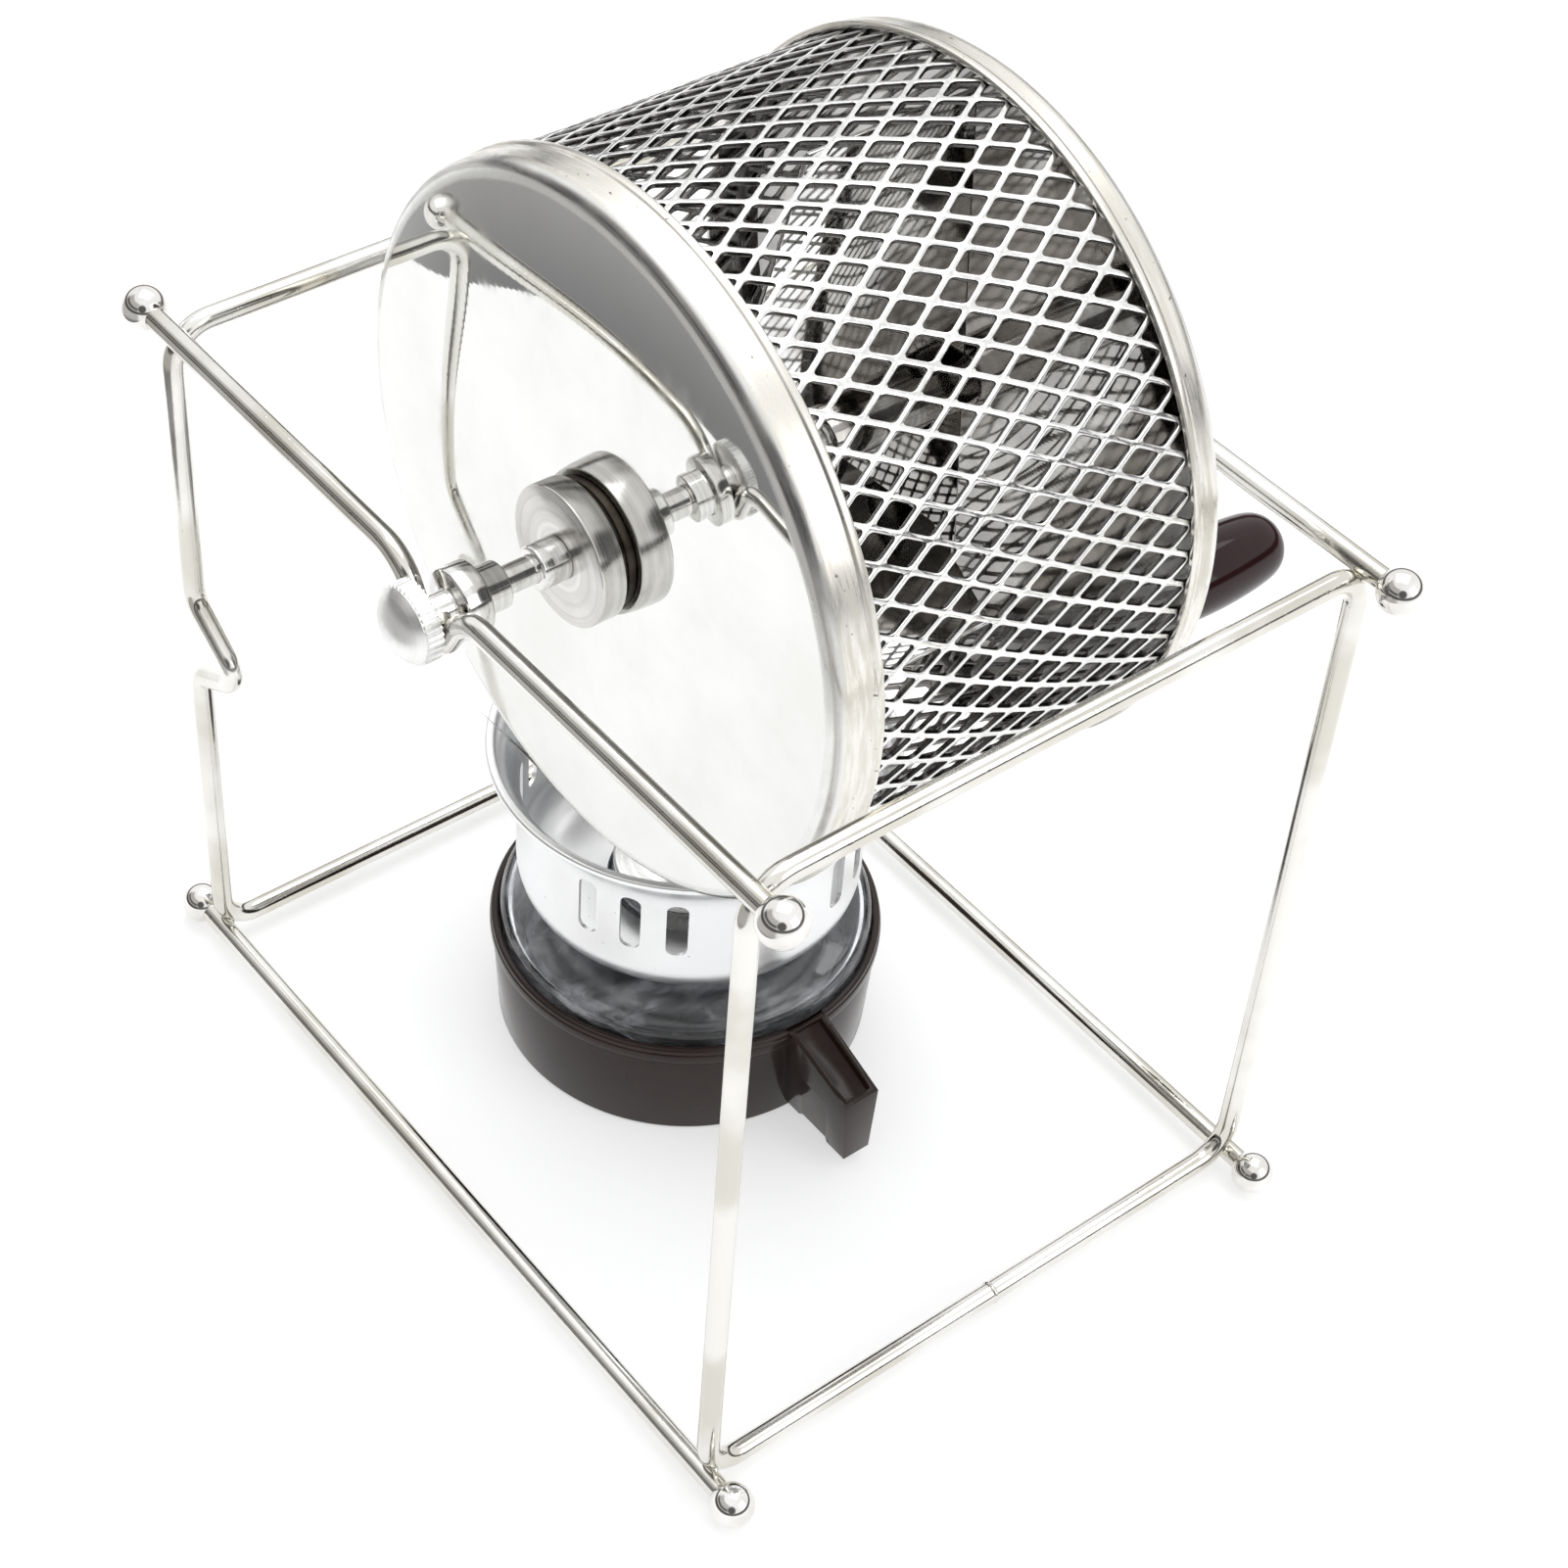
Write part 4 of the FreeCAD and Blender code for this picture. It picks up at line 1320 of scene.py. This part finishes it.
@dataclass
class StirringBlades:
    """Two pairs of polished sheet blades, each on a sleeve; the rear pair stands square to the front."""

    root: float = 4.3
    tip: float = 60.0
    sheet: float = 1.0
    width: float = 48.6
    corner: float = 11.0
    bore: float = 4.0
    sleeve: float = 5.5
    sleeve_length: float = 34.0

    def build(self, shop: Workshop) -> None:
        """Makes both pairs.

        Args:
            shop: the workshop that writes the pieces.
        """
        for name, face, way, angle in (("front", -33.1, 1, 5.0), ("rear", 50.0, -1, 95.0)):
            end = face + way * self.sleeve_length
            shape = Lathe(DRUM, Axis.ALONG_DRUM, 64).turn(
                [Corner(self.bore, face), Corner(self.sleeve, face, 0.3), Corner(self.sleeve, end, 0.3),
                 Corner(self.bore, end)])
            for turn in (angle, angle + 180.0):
                shape = merged(self.blade(face, way, math.radians(turn)), shape)
            shop.piece(shape, f"{name}_mixing_blades", Body.DRUM, ShadedMirror(),
                       (f"{name}_stirring_blades",))

    def blade(self, face: float, way: int, angle: float) -> bmesh.types.BMesh:
        """One blade.

        Args:
            face: Y of its edge at the cap.
            way: the way that it runs along Y.
            angle: its turn about the axis, from +X towards +Z.

        Returns:
            The blade's bmesh.
        """
        shape = bmesh.new()
        outline = [(self.root, 0), (self.tip, 0), (self.tip, self.width - self.corner),
                   ((self.root + self.tip) / 2, self.width), (self.root, self.width)]
        verts = [shape.verts.new(Vector((r, face + way * y, AXIS_Z - self.sheet / 2)) * MM) for r, y in outline]
        thicken(shape, [shape.faces.new(verts)], Vector((0, 0, self.sheet)))
        rounded(shape, shape.edges[:], 0.18, 2)
        bmesh.ops.rotate(shape, verts=shape.verts, cent=DRUM * MM,
                         matrix=Matrix.Rotation(-angle, 3, "Y"))
        return shape


@dataclass
class Crank:
    """Flat arm, nut, spindle and turned grip behind the drum."""

    radius: float = 60.0
    angle: float = math.radians(-66.0)
    front: float = 75.45
    thickness: float = 3.0
    hub: float = 7.5
    tip: float = 5.5
    nut_width: float = 10.0
    nut_height: float = 4.0
    spindle: float = 2.5
    spindle_end: float = 112.45
    grip_start: float = 78.75
    grip_length: float = 42.0

    def end(self) -> Vector:
        """Middle of the spindle, at Y zero."""
        return Vector((self.radius * math.cos(self.angle), 0.0, AXIS_Z + self.radius * math.sin(self.angle)))

    def build(self, shop: Workshop) -> None:
        """Makes the crank's pieces.

        Args:
            shop: the workshop that writes the pieces.
        """
        steel = TurnedSteel("crank_polish", DRUM, smooth=0.10, coarse=0.22, cut=0.01)
        shop.piece(self.arm(), "crank_arm_bar", Body.DRUM, steel, ("crank_arm",))
        shop.piece(self.hex_nut(), "crank_lock_nut", Body.DRUM, steel, ("crank_nut",))
        lathe = Lathe(self.end(), Axis.ALONG_DRUM, 64)
        shop.piece(lathe.turn([Corner(0, self.front + PROUD), Corner(self.spindle, self.front + PROUD, 0.4),
                               Corner(self.spindle, self.spindle_end, 0.5), Corner(0, self.spindle_end)]),
                   "grip_spindle", Body.DRUM, steel, ("handle_spindle",))
        start, shoulder = self.grip_start, self.grip_start + self.grip_length - 6.5
        rows = [Corner(0, self.spindle_end + PROUD), Corner(2.56, self.spindle_end + PROUD), Corner(2.56, start),
                Corner(6.2, start, 0.7), Corner(7.15, start + 4.5), Corner(7.85, start + 9.9),
                Corner(8.4, start + 15.8), Corner(8.6, start + 22.0), Corner(8.45, start + 28.0),
                Corner(7.8, shoulder), Corner(6.9, shoulder + 2.9), Corner(5.4, shoulder + 4.9),
                Corner(3.0, shoulder + 6.2), Corner(0, shoulder + 6.5)]
        grip = shop.piece(lathe.turn(rows), "turned_grip", Body.GRIP,
                          MouldedResin("burgundy_resin", (0.017, 0.0030, 0.0045), (0.028, 0.0060, 0.0075), 0.05, 0.11),
                          ("handle_grip",))
        smooth = grip.modifiers.new("smooth", "SUBSURF")
        smooth.levels = smooth.render_levels = 1

    def arm(self) -> bmesh.types.BMesh:
        """Flat bar with round ends that tapers from hub to tip.

        Returns:
            The arm's bmesh.
        """
        shape = bmesh.new()
        lean = math.asin((self.hub - self.tip) / self.radius)
        hub = Vector((0, self.front, AXIS_Z))
        tip = self.end() + Vector((0, self.front, 0))
        along = (tip - hub).normalized()
        up = Vector((0, 1, 0)).cross(along)
        start = shape.verts.new((hub + (along * math.sin(lean) + up * math.cos(lean)) * self.hub) * MM)
        first = bmesh.ops.spin(shape, geom=[start], cent=hub * MM, axis=(0, 1, 0), dvec=(0, 0, 0),
                               angle=math.pi + 2 * lean, steps=24, use_merge=False, use_duplicate=False)
        far = shape.verts.new((tip + (along * math.sin(lean) - up * math.cos(lean)) * self.tip) * MM)
        last = bmesh.ops.spin(shape, geom=[far], cent=tip * MM, axis=(0, 1, 0), dvec=(0, 0, 0),
                              angle=math.pi - 2 * lean, steps=20, use_merge=False, use_duplicate=False)
        hub_end, tip_end = (verts_in(arc["geom_last"])[0] for arc in (first, last))
        shape.edges.new((hub_end, far))
        shape.edges.new((tip_end, start))
        made = bmesh.ops.contextual_create(shape, geom=shape.edges[:])["faces"]
        thicken(shape, made, Vector((0, self.thickness, 0)))
        rim = [e for e in shape.edges if abs(e.verts[0].co.y - e.verts[1].co.y) < MERGE]
        rounded(shape, rim, 0.4, 3)
        return shape

    def hex_nut(self) -> bmesh.types.BMesh:
        """Hexagon nut with eased corners.

        Returns:
            The nut's bmesh.
        """
        shape = bmesh.new()
        middle = Vector((0, self.front + self.thickness, AXIS_Z)) * MM
        turn = Matrix.Rotation(-self.angle, 4, "Y") @ Matrix.Rotation(-math.pi / 2, 4, "X")
        bmesh.ops.create_circle(shape, cap_ends=True, segments=6, radius=self.nut_width / math.sqrt(3) * MM,
                                matrix=Matrix.Translation(middle) @ turn)
        thicken(shape, shape.faces[:], Vector((0, self.nut_height, 0)))
        rounded(shape, shape.edges[:], 0.35, 2)
        return shape


@dataclass
class SpiritBurner:
    """Moulded base, glass bowl, wick cap with its wick, and the windshield."""

    base: float = 41.5
    height: float = 26.1
    wall: float = 1.9
    draft: float = 1.3
    floor: float = 4.6
    band: float = 4.0
    handle_length: float = 18.2
    handle_width: float = 9.3
    handle_draft: float = math.radians(3.2)
    handle_drop: float = 6.1
    underside: float = 4.2
    tip_bottom: float = 3.2
    tip_length: float = 5.7
    trough_wall: float = 1.3
    trough_slope: float = 0.35
    trough_depth: float = 1.2
    web: float = 4.4
    web_bottom: float = 2.4
    web_top: float = 15.4
    glass: float = 39.3
    glass_top: float = 30.5
    shoulder: float = 34.9
    neck: float = 15.5
    neck_top: float = 39.9
    shield: float = 36.0
    shield_bottom: float = 34.96
    shield_top: float = 74.26
    rim: float = 42.3
    flare: float = 9.4
    waist: float = 0.62       # share of the flare's height
    sheet: float = 0.8
    hole: float = 16.8
    slot_width: float = 4.4
    slot_bottom: float = 48.86
    slot_top: float = 62.86
    slot_step: float = 15.3
    slot_heading: float = -57.0

    def lathe(self, steps: int = 128) -> Lathe:
        """Lathe on the burner's axis."""
        return Lathe(BURNER, Axis.UPRIGHT, steps)

    def build(self, shop: Workshop) -> None:
        """Makes the burner's pieces.

        Args:
            shop: the workshop that writes the pieces.
        """
        brown = MouldedResin("brown_resin", (0.0185, 0.0095, 0.0070), (0.0290, 0.0160, 0.0125), 0.09, 0.19)
        shop.piece(self.cup(), "moulded_base", Body.BURNER, brown, ("burner_base",))
        shop.piece(self.bowl(), "glass_reservoir", Body.BURNER, BlownGlass(), ("glass_bowl",))
        shield = shop.piece(self.chimney(), "slotted_windshield", Body.WINDSHIELD, SpunAluminium(),
                            ("windshield",))
        self.cut_slots(shield)
        cap_top = self.neck_top + 1.2
        metal = TurnedSteel("cap_metal", BURNER, Axis.UPRIGHT, (0.84, 0.84, 0.83), (0.62, 0.62, 0.61), 0.18, 0.34)
        shop.piece(self.lathe(72).turn([Corner(5.2, self.neck_top), Corner(15.8, self.neck_top, 0.2),
                                        Corner(15.8, cap_top, 0.5), Corner(6.0, cap_top, 0.4),
                                        Corner(6.0, cap_top + 9.0, 0.25), Corner(5.2, cap_top + 9.0, 0.2)]),
                   "wick_holder", Body.BURNER, metal, ("wick_cap",))
        top = cap_top + 12.5
        shop.piece(self.lathe(48).turn([Corner(0, 7.6), Corner(5.2, 7.6, 0.6), Corner(5.2, top, 1.4, 4),
                                        Corner(0, top)]),
                   "cotton_wick_cord", Body.BURNER, WovenCotton(), ("wick",))

    def cup(self) -> bmesh.types.BMesh:
        """Base cup, narrower at its foot, with a band at its rim and the lever handle.

        Returns:
            The base's bmesh.
        """
        rim, body, band = self.base, self.base - 0.5, self.height - self.band
        inner, foot = rim - self.wall, body - self.draft
        cup = self.lathe(160).turn(
            [Corner(0, 2.0), Corner(foot - 5.0, 2.0), Corner(foot - 5.0, 0.0, 0.6), Corner(foot, 0.0, 1.0, 4),
             Corner(body, band - 0.2, 0.15), Corner(body - 0.3, band, 0.1), Corner(rim, band + 0.4, 0.25),
             Corner(rim, self.height - 1.5, 0.3), Corner(rim - 0.25, self.height - 1.3, 0.15),
             Corner(rim - 0.25, self.height, 0.7, 4), Corner(inner, self.height, 0.5),
             Corner(inner - self.draft, self.floor, 1.5), Corner(0, self.floor)])
        return merged(self.lever(), cup)

    def lever(self) -> bmesh.types.BMesh:
        """Handle that slopes down from the rim: an open trough on a drafted bar, thinner at its root.

        Returns:
            The handle's bmesh.
        """
        shape = bmesh.new()
        start, rim = BURNER.x + self.base - self.wall + 0.1, BURNER.x + self.base
        end, half = rim + self.handle_length, self.handle_width / 2
        low, top = self.web_bottom, self.height
        size = Vector((end - start, self.handle_width, top - low)) * MM
        middle = Vector(((start + end) / 2, BURNER.y, (low + top) / 2)) * MM
        bmesh.ops.create_cube(shape, size=1.0,
                              matrix=Matrix.Translation(middle) @ Matrix.Diagonal((*size, 1.0)))

        def cut(place: tuple, normal: tuple, keep: bool = True) -> None:
            """Cuts the bar by a plane.

            Args:
                place: a point of the plane.
                normal: the plane's normal.
                keep: True to keep both sides, False to drop what is beyond and close the cut.
            """
            made = bmesh.ops.bisect_plane(shape, geom=whole(shape), plane_co=Vector(place) * MM, plane_no=normal,
                                          clear_outer=not keep)
            if not keep:
                edges = [g for g in made["geom_cut"] if isinstance(g, bmesh.types.BMEdge)]
                bmesh.ops.contextual_create(shape, geom=edges)

        lean = math.tan(self.handle_draft)
        for side in (-1, 1):
            cut((start, BURNER.y + side * half, top), (0.0, side, -lean), False)
        cut((rim, 0, top), (1, 0, 0))
        cut((rim, 0, top), (self.handle_drop, 0, self.handle_length), False)
        web, step = rim + self.web, end - self.tip_length
        for place in (web - 1.6, web, step - 0.6, step):
            cut((place, 0, 0), (1, 0, 0))
        for height in (self.web_top, self.web_top + 0.5):
            cut((0, 0, height), (0, 0, 1))
        for vert in shape.verts:
            x, z = vert.co.x / MM, vert.co.z / MM
            if z < low + 0.01:
                rise = self.underside if web - 0.01 < x < step - 0.59 else self.tip_bottom if x > step - 0.01 else low
                vert.co.y -= math.copysign((rise - low) * lean * -MM, vert.co.y - BURNER.y * MM)
                vert.co.z = rise * MM
            if x < web - 1.5 and z < self.web_top + 0.01:
                vert.co.y -= math.copysign(0.6 * MM, vert.co.y - BURNER.y * MM)
        bmesh.ops.recalc_face_normals(shape, faces=shape.faces)
        lid = [f for f in shape.faces if f.normal.z > 0.8 and f.calc_center_median().x > rim * MM]
        bmesh.ops.inset_region(shape, faces=lid, thickness=self.trough_wall * MM, depth=0.0, use_even_offset=True)
        for vert in {v for f in lid for v in f.verts}:
            if vert.co.x < (rim + 1.4) * MM:
                vert.co += Vector((-self.handle_length, 0, self.handle_drop)).normalized() * 1.28 * MM
        bmesh.ops.inset_region(shape, faces=lid, thickness=self.trough_slope * MM, depth=-self.trough_depth * MM,
                               use_even_offset=True)
        sharp = [e for e in shape.edges if e.calc_face_angle(0.0) > math.radians(22.0)]
        rounded(shape, sharp, 0.3, 3)
        return shape

    def bowl(self) -> bmesh.types.BMesh:
        """Thick glass bowl with a sloping shoulder and a short neck.

        Returns:
            The bowl's bmesh.
        """
        wall, foot = 2.0, self.glass - self.draft
        return self.lathe().turn(
            [Corner(0, self.floor), Corner(foot, self.floor, 4.0, 6), Corner(self.glass, self.height, 0.5),
             Corner(self.glass, self.glass_top, 2.6, 6),
             Corner(self.neck, self.shoulder, 1.5, 4), Corner(self.neck, self.neck_top, 0.5),
             Corner(self.neck - wall, self.neck_top, 0.5), Corner(self.neck - wall, self.shoulder - 1.6, 1.0),
             Corner(self.glass - wall, self.glass_top - 1.6, 1.6, 5), Corner(foot - wall, self.floor + wall, 2.5, 5),
             Corner(0, self.floor + wall)])

    def chimney(self) -> bmesh.types.BMesh:
        """Windshield's shell: rounded bottom, straight wall, flare and rolled rim.

        Returns:
            The shell's bmesh.
        """
        wall, sheet, rim, low, top = self.shield, self.sheet, self.rim, self.shield_bottom, self.shield_top
        waist = (wall + rim) / 2
        straight = top - self.flare
        waist_z = straight + self.flare * self.waist
        return self.lathe(144).turn(
            [Corner(self.hole, low, 0.2), Corner(wall, low, 9.0, 10), Corner(wall, straight, 3.0, 5),
             Corner(waist, waist_z, 1.5, 4), Corner(rim - 0.5, top - 1.9, 0.4), Corner(rim, top - 1.4, 0.4),
             Corner(rim, top, 0.6, 4), Corner(rim - 2.0, top, 0.7, 4), Corner(rim - 2.0, top - 1.4, 0.4),
             Corner(waist - sheet, waist_z + sheet, 1.5, 4), Corner(wall - sheet, straight, 3.0, 5),
             Corner(wall - sheet, low + sheet, 8.2, 10), Corner(self.hole, low + sheet, 0.2)])

    def cut_slots(self, shield: bpy.types.Object) -> None:
        """Cuts the air slots, in four groups of three, and keeps the result as the piece's mesh.

        Args:
            shield: the windshield's object.
        """
        cutters = bmesh.new()
        for group in range(4):
            for i in (-1, 0, 1):
                turn = math.radians(self.slot_heading + 90.0 * group + i * self.slot_step)
                own = bmesh.new()
                size = (8.0, self.slot_width, self.slot_top - self.slot_bottom)
                middle = Vector((self.shield, 0.0, (self.slot_top + self.slot_bottom) / 2))
                bmesh.ops.create_cube(own, size=1.0, matrix=Matrix.Translation(middle * MM) @ Matrix.Diagonal(
                    (*[s * MM for s in size], 1.0)))
                across = [e for e in own.edges if abs(e.verts[0].co.x - e.verts[1].co.x) > MM]
                rounded(own, across, self.slot_width * 0.42, 6)
                bmesh.ops.rotate(own, verts=own.verts, cent=(0, 0, 0), matrix=Matrix.Rotation(turn, 3, "Z"))
                bmesh.ops.translate(own, verts=own.verts, vec=BURNER * MM)
                cutters = merged(own, cutters)
        mesh = bpy.data.meshes.new("slot_cutters")
        cutters.to_mesh(mesh)
        cutters.free()
        tool = bpy.data.objects.new("slot_cutters", mesh)
        bpy.context.scene.collection.objects.link(tool)
        cut = shield.modifiers.new("slots", "BOOLEAN")
        cut.operation, cut.object, cut.solver = "DIFFERENCE", tool, "EXACT"
        bpy.context.view_layer.update()
        cleaned = bpy.data.meshes.new_from_object(shield.evaluated_get(bpy.context.evaluated_depsgraph_get()))
        shield.modifiers.remove(cut)
        shield.data = cleaned
        bpy.data.objects.remove(tool)


# Studio


@dataclass
class Studio:
    """White table, soft light and the camera."""

    azimuth: float = math.radians(48.411)
    elevation: float = math.radians(44.005)
    roll: float = math.radians(4.739)
    place: Vector = field(default_factory=lambda: Vector((343.706, -290.792, 514.415)))
    lens: float = 73.09
    open_side: Vector = field(default_factory=lambda: Vector((-0.302, -0.953, 0.0)))
    table_edge: float = 255.0
    lens_way: Vector = field(default_factory=lambda: Vector((0.661, -0.586, 0.469)))
    skyline: float = 0.11     # heights of the dark bands, as the sine of their elevation
    stripe: float = 0.38

    def camera(self) -> None:
        """Camera at the photograph's place and angle."""
        a, e = self.azimuth, self.elevation
        ahead = Vector((-math.sin(a) * math.cos(e), math.cos(a) * math.cos(e), -math.sin(e)))
        right = Vector((math.cos(a), math.sin(a), 0.0))
        axes = Matrix((right, right.cross(ahead), -ahead)).transposed() @ Matrix.Rotation(self.roll, 3, "Z")
        data = bpy.data.cameras.new("camera")
        data.sensor_width, data.lens = 36.0, self.lens
        data.clip_start, data.clip_end = 0.01, 20.0
        made = bpy.data.objects.new("camera", data)
        made.matrix_world = Matrix.Translation(self.place * MM) @ axes.to_4x4()
        bpy.context.scene.collection.objects.link(made)
        bpy.context.scene.camera = made

    def table(self) -> None:
        """White table that ends on the studio's open side."""
        shape = bmesh.new()
        bmesh.ops.create_grid(shape, x_segments=1, y_segments=1, size=2.5)
        bmesh.ops.bisect_plane(shape, geom=whole(shape), plane_co=self.open_side * self.table_edge * MM,
                               plane_no=self.open_side, clear_outer=True)
        mesh = bpy.data.meshes.new("table")
        shape.to_mesh(mesh)
        shape.free()
        made = bpy.data.objects.new("table", mesh)
        bpy.context.scene.collection.objects.link(made)
        bench = FinishBench("white_table")
        bench.set(Roughness=0.6, Base_Color=(0.76, 0.765, 0.77, 1.0))
        bench.shader.inputs["Specular IOR Level"].default_value = 0.0
        path = bench.node("ShaderNodeLightPath")
        seen = bench.math("MAXIMUM", path.outputs["Is Camera Ray"], path.outputs["Is Glossy Ray"])
        glow = bench.math("MULTIPLY", bench.math("MAXIMUM", seen, path.outputs["Is Transmission Ray"]), 0.48)
        bench.shader.inputs["Emission Color"].default_value = (1.0, 1.0, 1.0, 1.0)
        bench.link(glow, bench.shader.inputs["Emission Strength"])
        mesh.materials.append(bench.material)

    def world(self) -> None:
        """Even white light; polished metal also sees the studio's dark open side."""
        world = bpy.data.worlds.new("studio")
        world.use_nodes = True
        bpy.context.scene.world = world
        bench = NodeBench(world.node_tree)
        bench.tree.nodes.clear()
        coords = bench.node("ShaderNodeTexCoord")
        x, y, z = bench.split(coords.outputs["Generated"])
        flat = bench.distance(x, y)
        toward = bench.math("DIVIDE", bench.plus(bench.math("MULTIPLY", x, self.open_side.x), y, self.open_side.y),
                            flat)
        side = bench.span(toward, 0.55, 0.80, 0.0, 1.0)
        under = bench.span(z, 0.70, 0.82, 1.0, 0.0)
        dark_side = bench.math("MULTIPLY", side, under)
        facing = bench.node("ShaderNodeVectorMath", operation="DOT_PRODUCT")
        facing.inputs[1].default_value = self.lens_way
        bench.link(coords.outputs["Generated"], facing.inputs[0])
        lens_spot = bench.span(facing.outputs["Value"], 0.92, 0.97, 0.0, 0.95)
        skyline, stripe = (bench.span(bench.math("ABSOLUTE", bench.math("SUBTRACT", z, height)), *edges, dark, 0.0)
                           for height, edges, dark in ((self.skyline, (0.08, 0.14), 0.92),
                                                       (self.stripe, (0.05, 0.12), 0.85)))
        shade = bench.tone(z, -0.62, -0.40, (0.215, 0.215, 0.22), (0.50, 0.49, 0.48))
        shade = bench.blend(stripe, shade, (0.05, 0.05, 0.05))
        seen = bench.blend(dark_side, (1.0, 1.0, 1.0), shade)
        seen = bench.blend(bench.math("MAXIMUM", lens_spot, skyline), seen, (0.06, 0.06, 0.06))
        path = bench.node("ShaderNodeLightPath")
        plain = bench.math("MAXIMUM", path.outputs["Is Camera Ray"], path.outputs["Is Transmission Ray"])
        reflect = bench.node("ShaderNodeBackground")
        bench.link(seen, reflect.inputs["Color"])
        reflect.inputs["Strength"].default_value = 1.05
        soft = bench.node("ShaderNodeBackground")
        soft.inputs["Color"].default_value = (1.0, 1.0, 1.0, 1.0)
        soft.inputs["Strength"].default_value = 0.62
        white = bench.node("ShaderNodeBackground")
        white.inputs["Color"].default_value = (1.0, 1.0, 1.0, 1.0)
        first = bench.node("ShaderNodeMixShader")
        bench.link(path.outputs["Is Glossy Ray"], first.inputs[0])
        bench.link(soft.outputs[0], first.inputs[1])
        bench.link(reflect.outputs[0], first.inputs[2])
        second = bench.node("ShaderNodeMixShader")
        bench.link(plain, second.inputs[0])
        bench.link(first.outputs[0], second.inputs[1])
        bench.link(white.outputs[0], second.inputs[2])
        out = bench.node("ShaderNodeOutputWorld")
        bench.link(second.outputs[0], out.inputs["Surface"])

    def lamps(self) -> None:
        """Two large soft boxes, above and at the right."""
        for name, place, size, watts in (("overhead_box", (-0.25, 0.35, 1.5), 1.3, 9.0),
                                         ("side_box", (1.3, 0.5, 0.9), 0.9, 3.5)):
            data = bpy.data.lights.new(name, "AREA")
            data.shape, data.size, data.energy = "SQUARE", size, watts
            made = bpy.data.objects.new(name, data)
            made.location = place
            aim = Vector((0.0, 0.0, 0.1)) - Vector(place)
            made.rotation_euler = aim.to_track_quat("-Z", "Y").to_euler()
            bpy.context.scene.collection.objects.link(made)

    def build(self) -> None:
        """Sets the whole studio."""
        bpy.context.scene.view_settings.view_transform = "Standard"
        self.camera()
        self.table()
        self.world()
        self.lamps()


def main() -> None:
    """Builds the studio and every sub-assembly."""
    logging.basicConfig(level=logging.INFO, format="%(name)s %(message)s")
    Studio().build()
    shop = Workshop()
    for assembly in (WireStand(), ExpandedDrum(), DrumCaps(), DrumShaft(), StirringBlades(), Crank(), SpiritBurner()):
        assembly.build(shop)
        log.info("%s built", type(assembly).__name__)


if __name__ == "__main__":
    main()
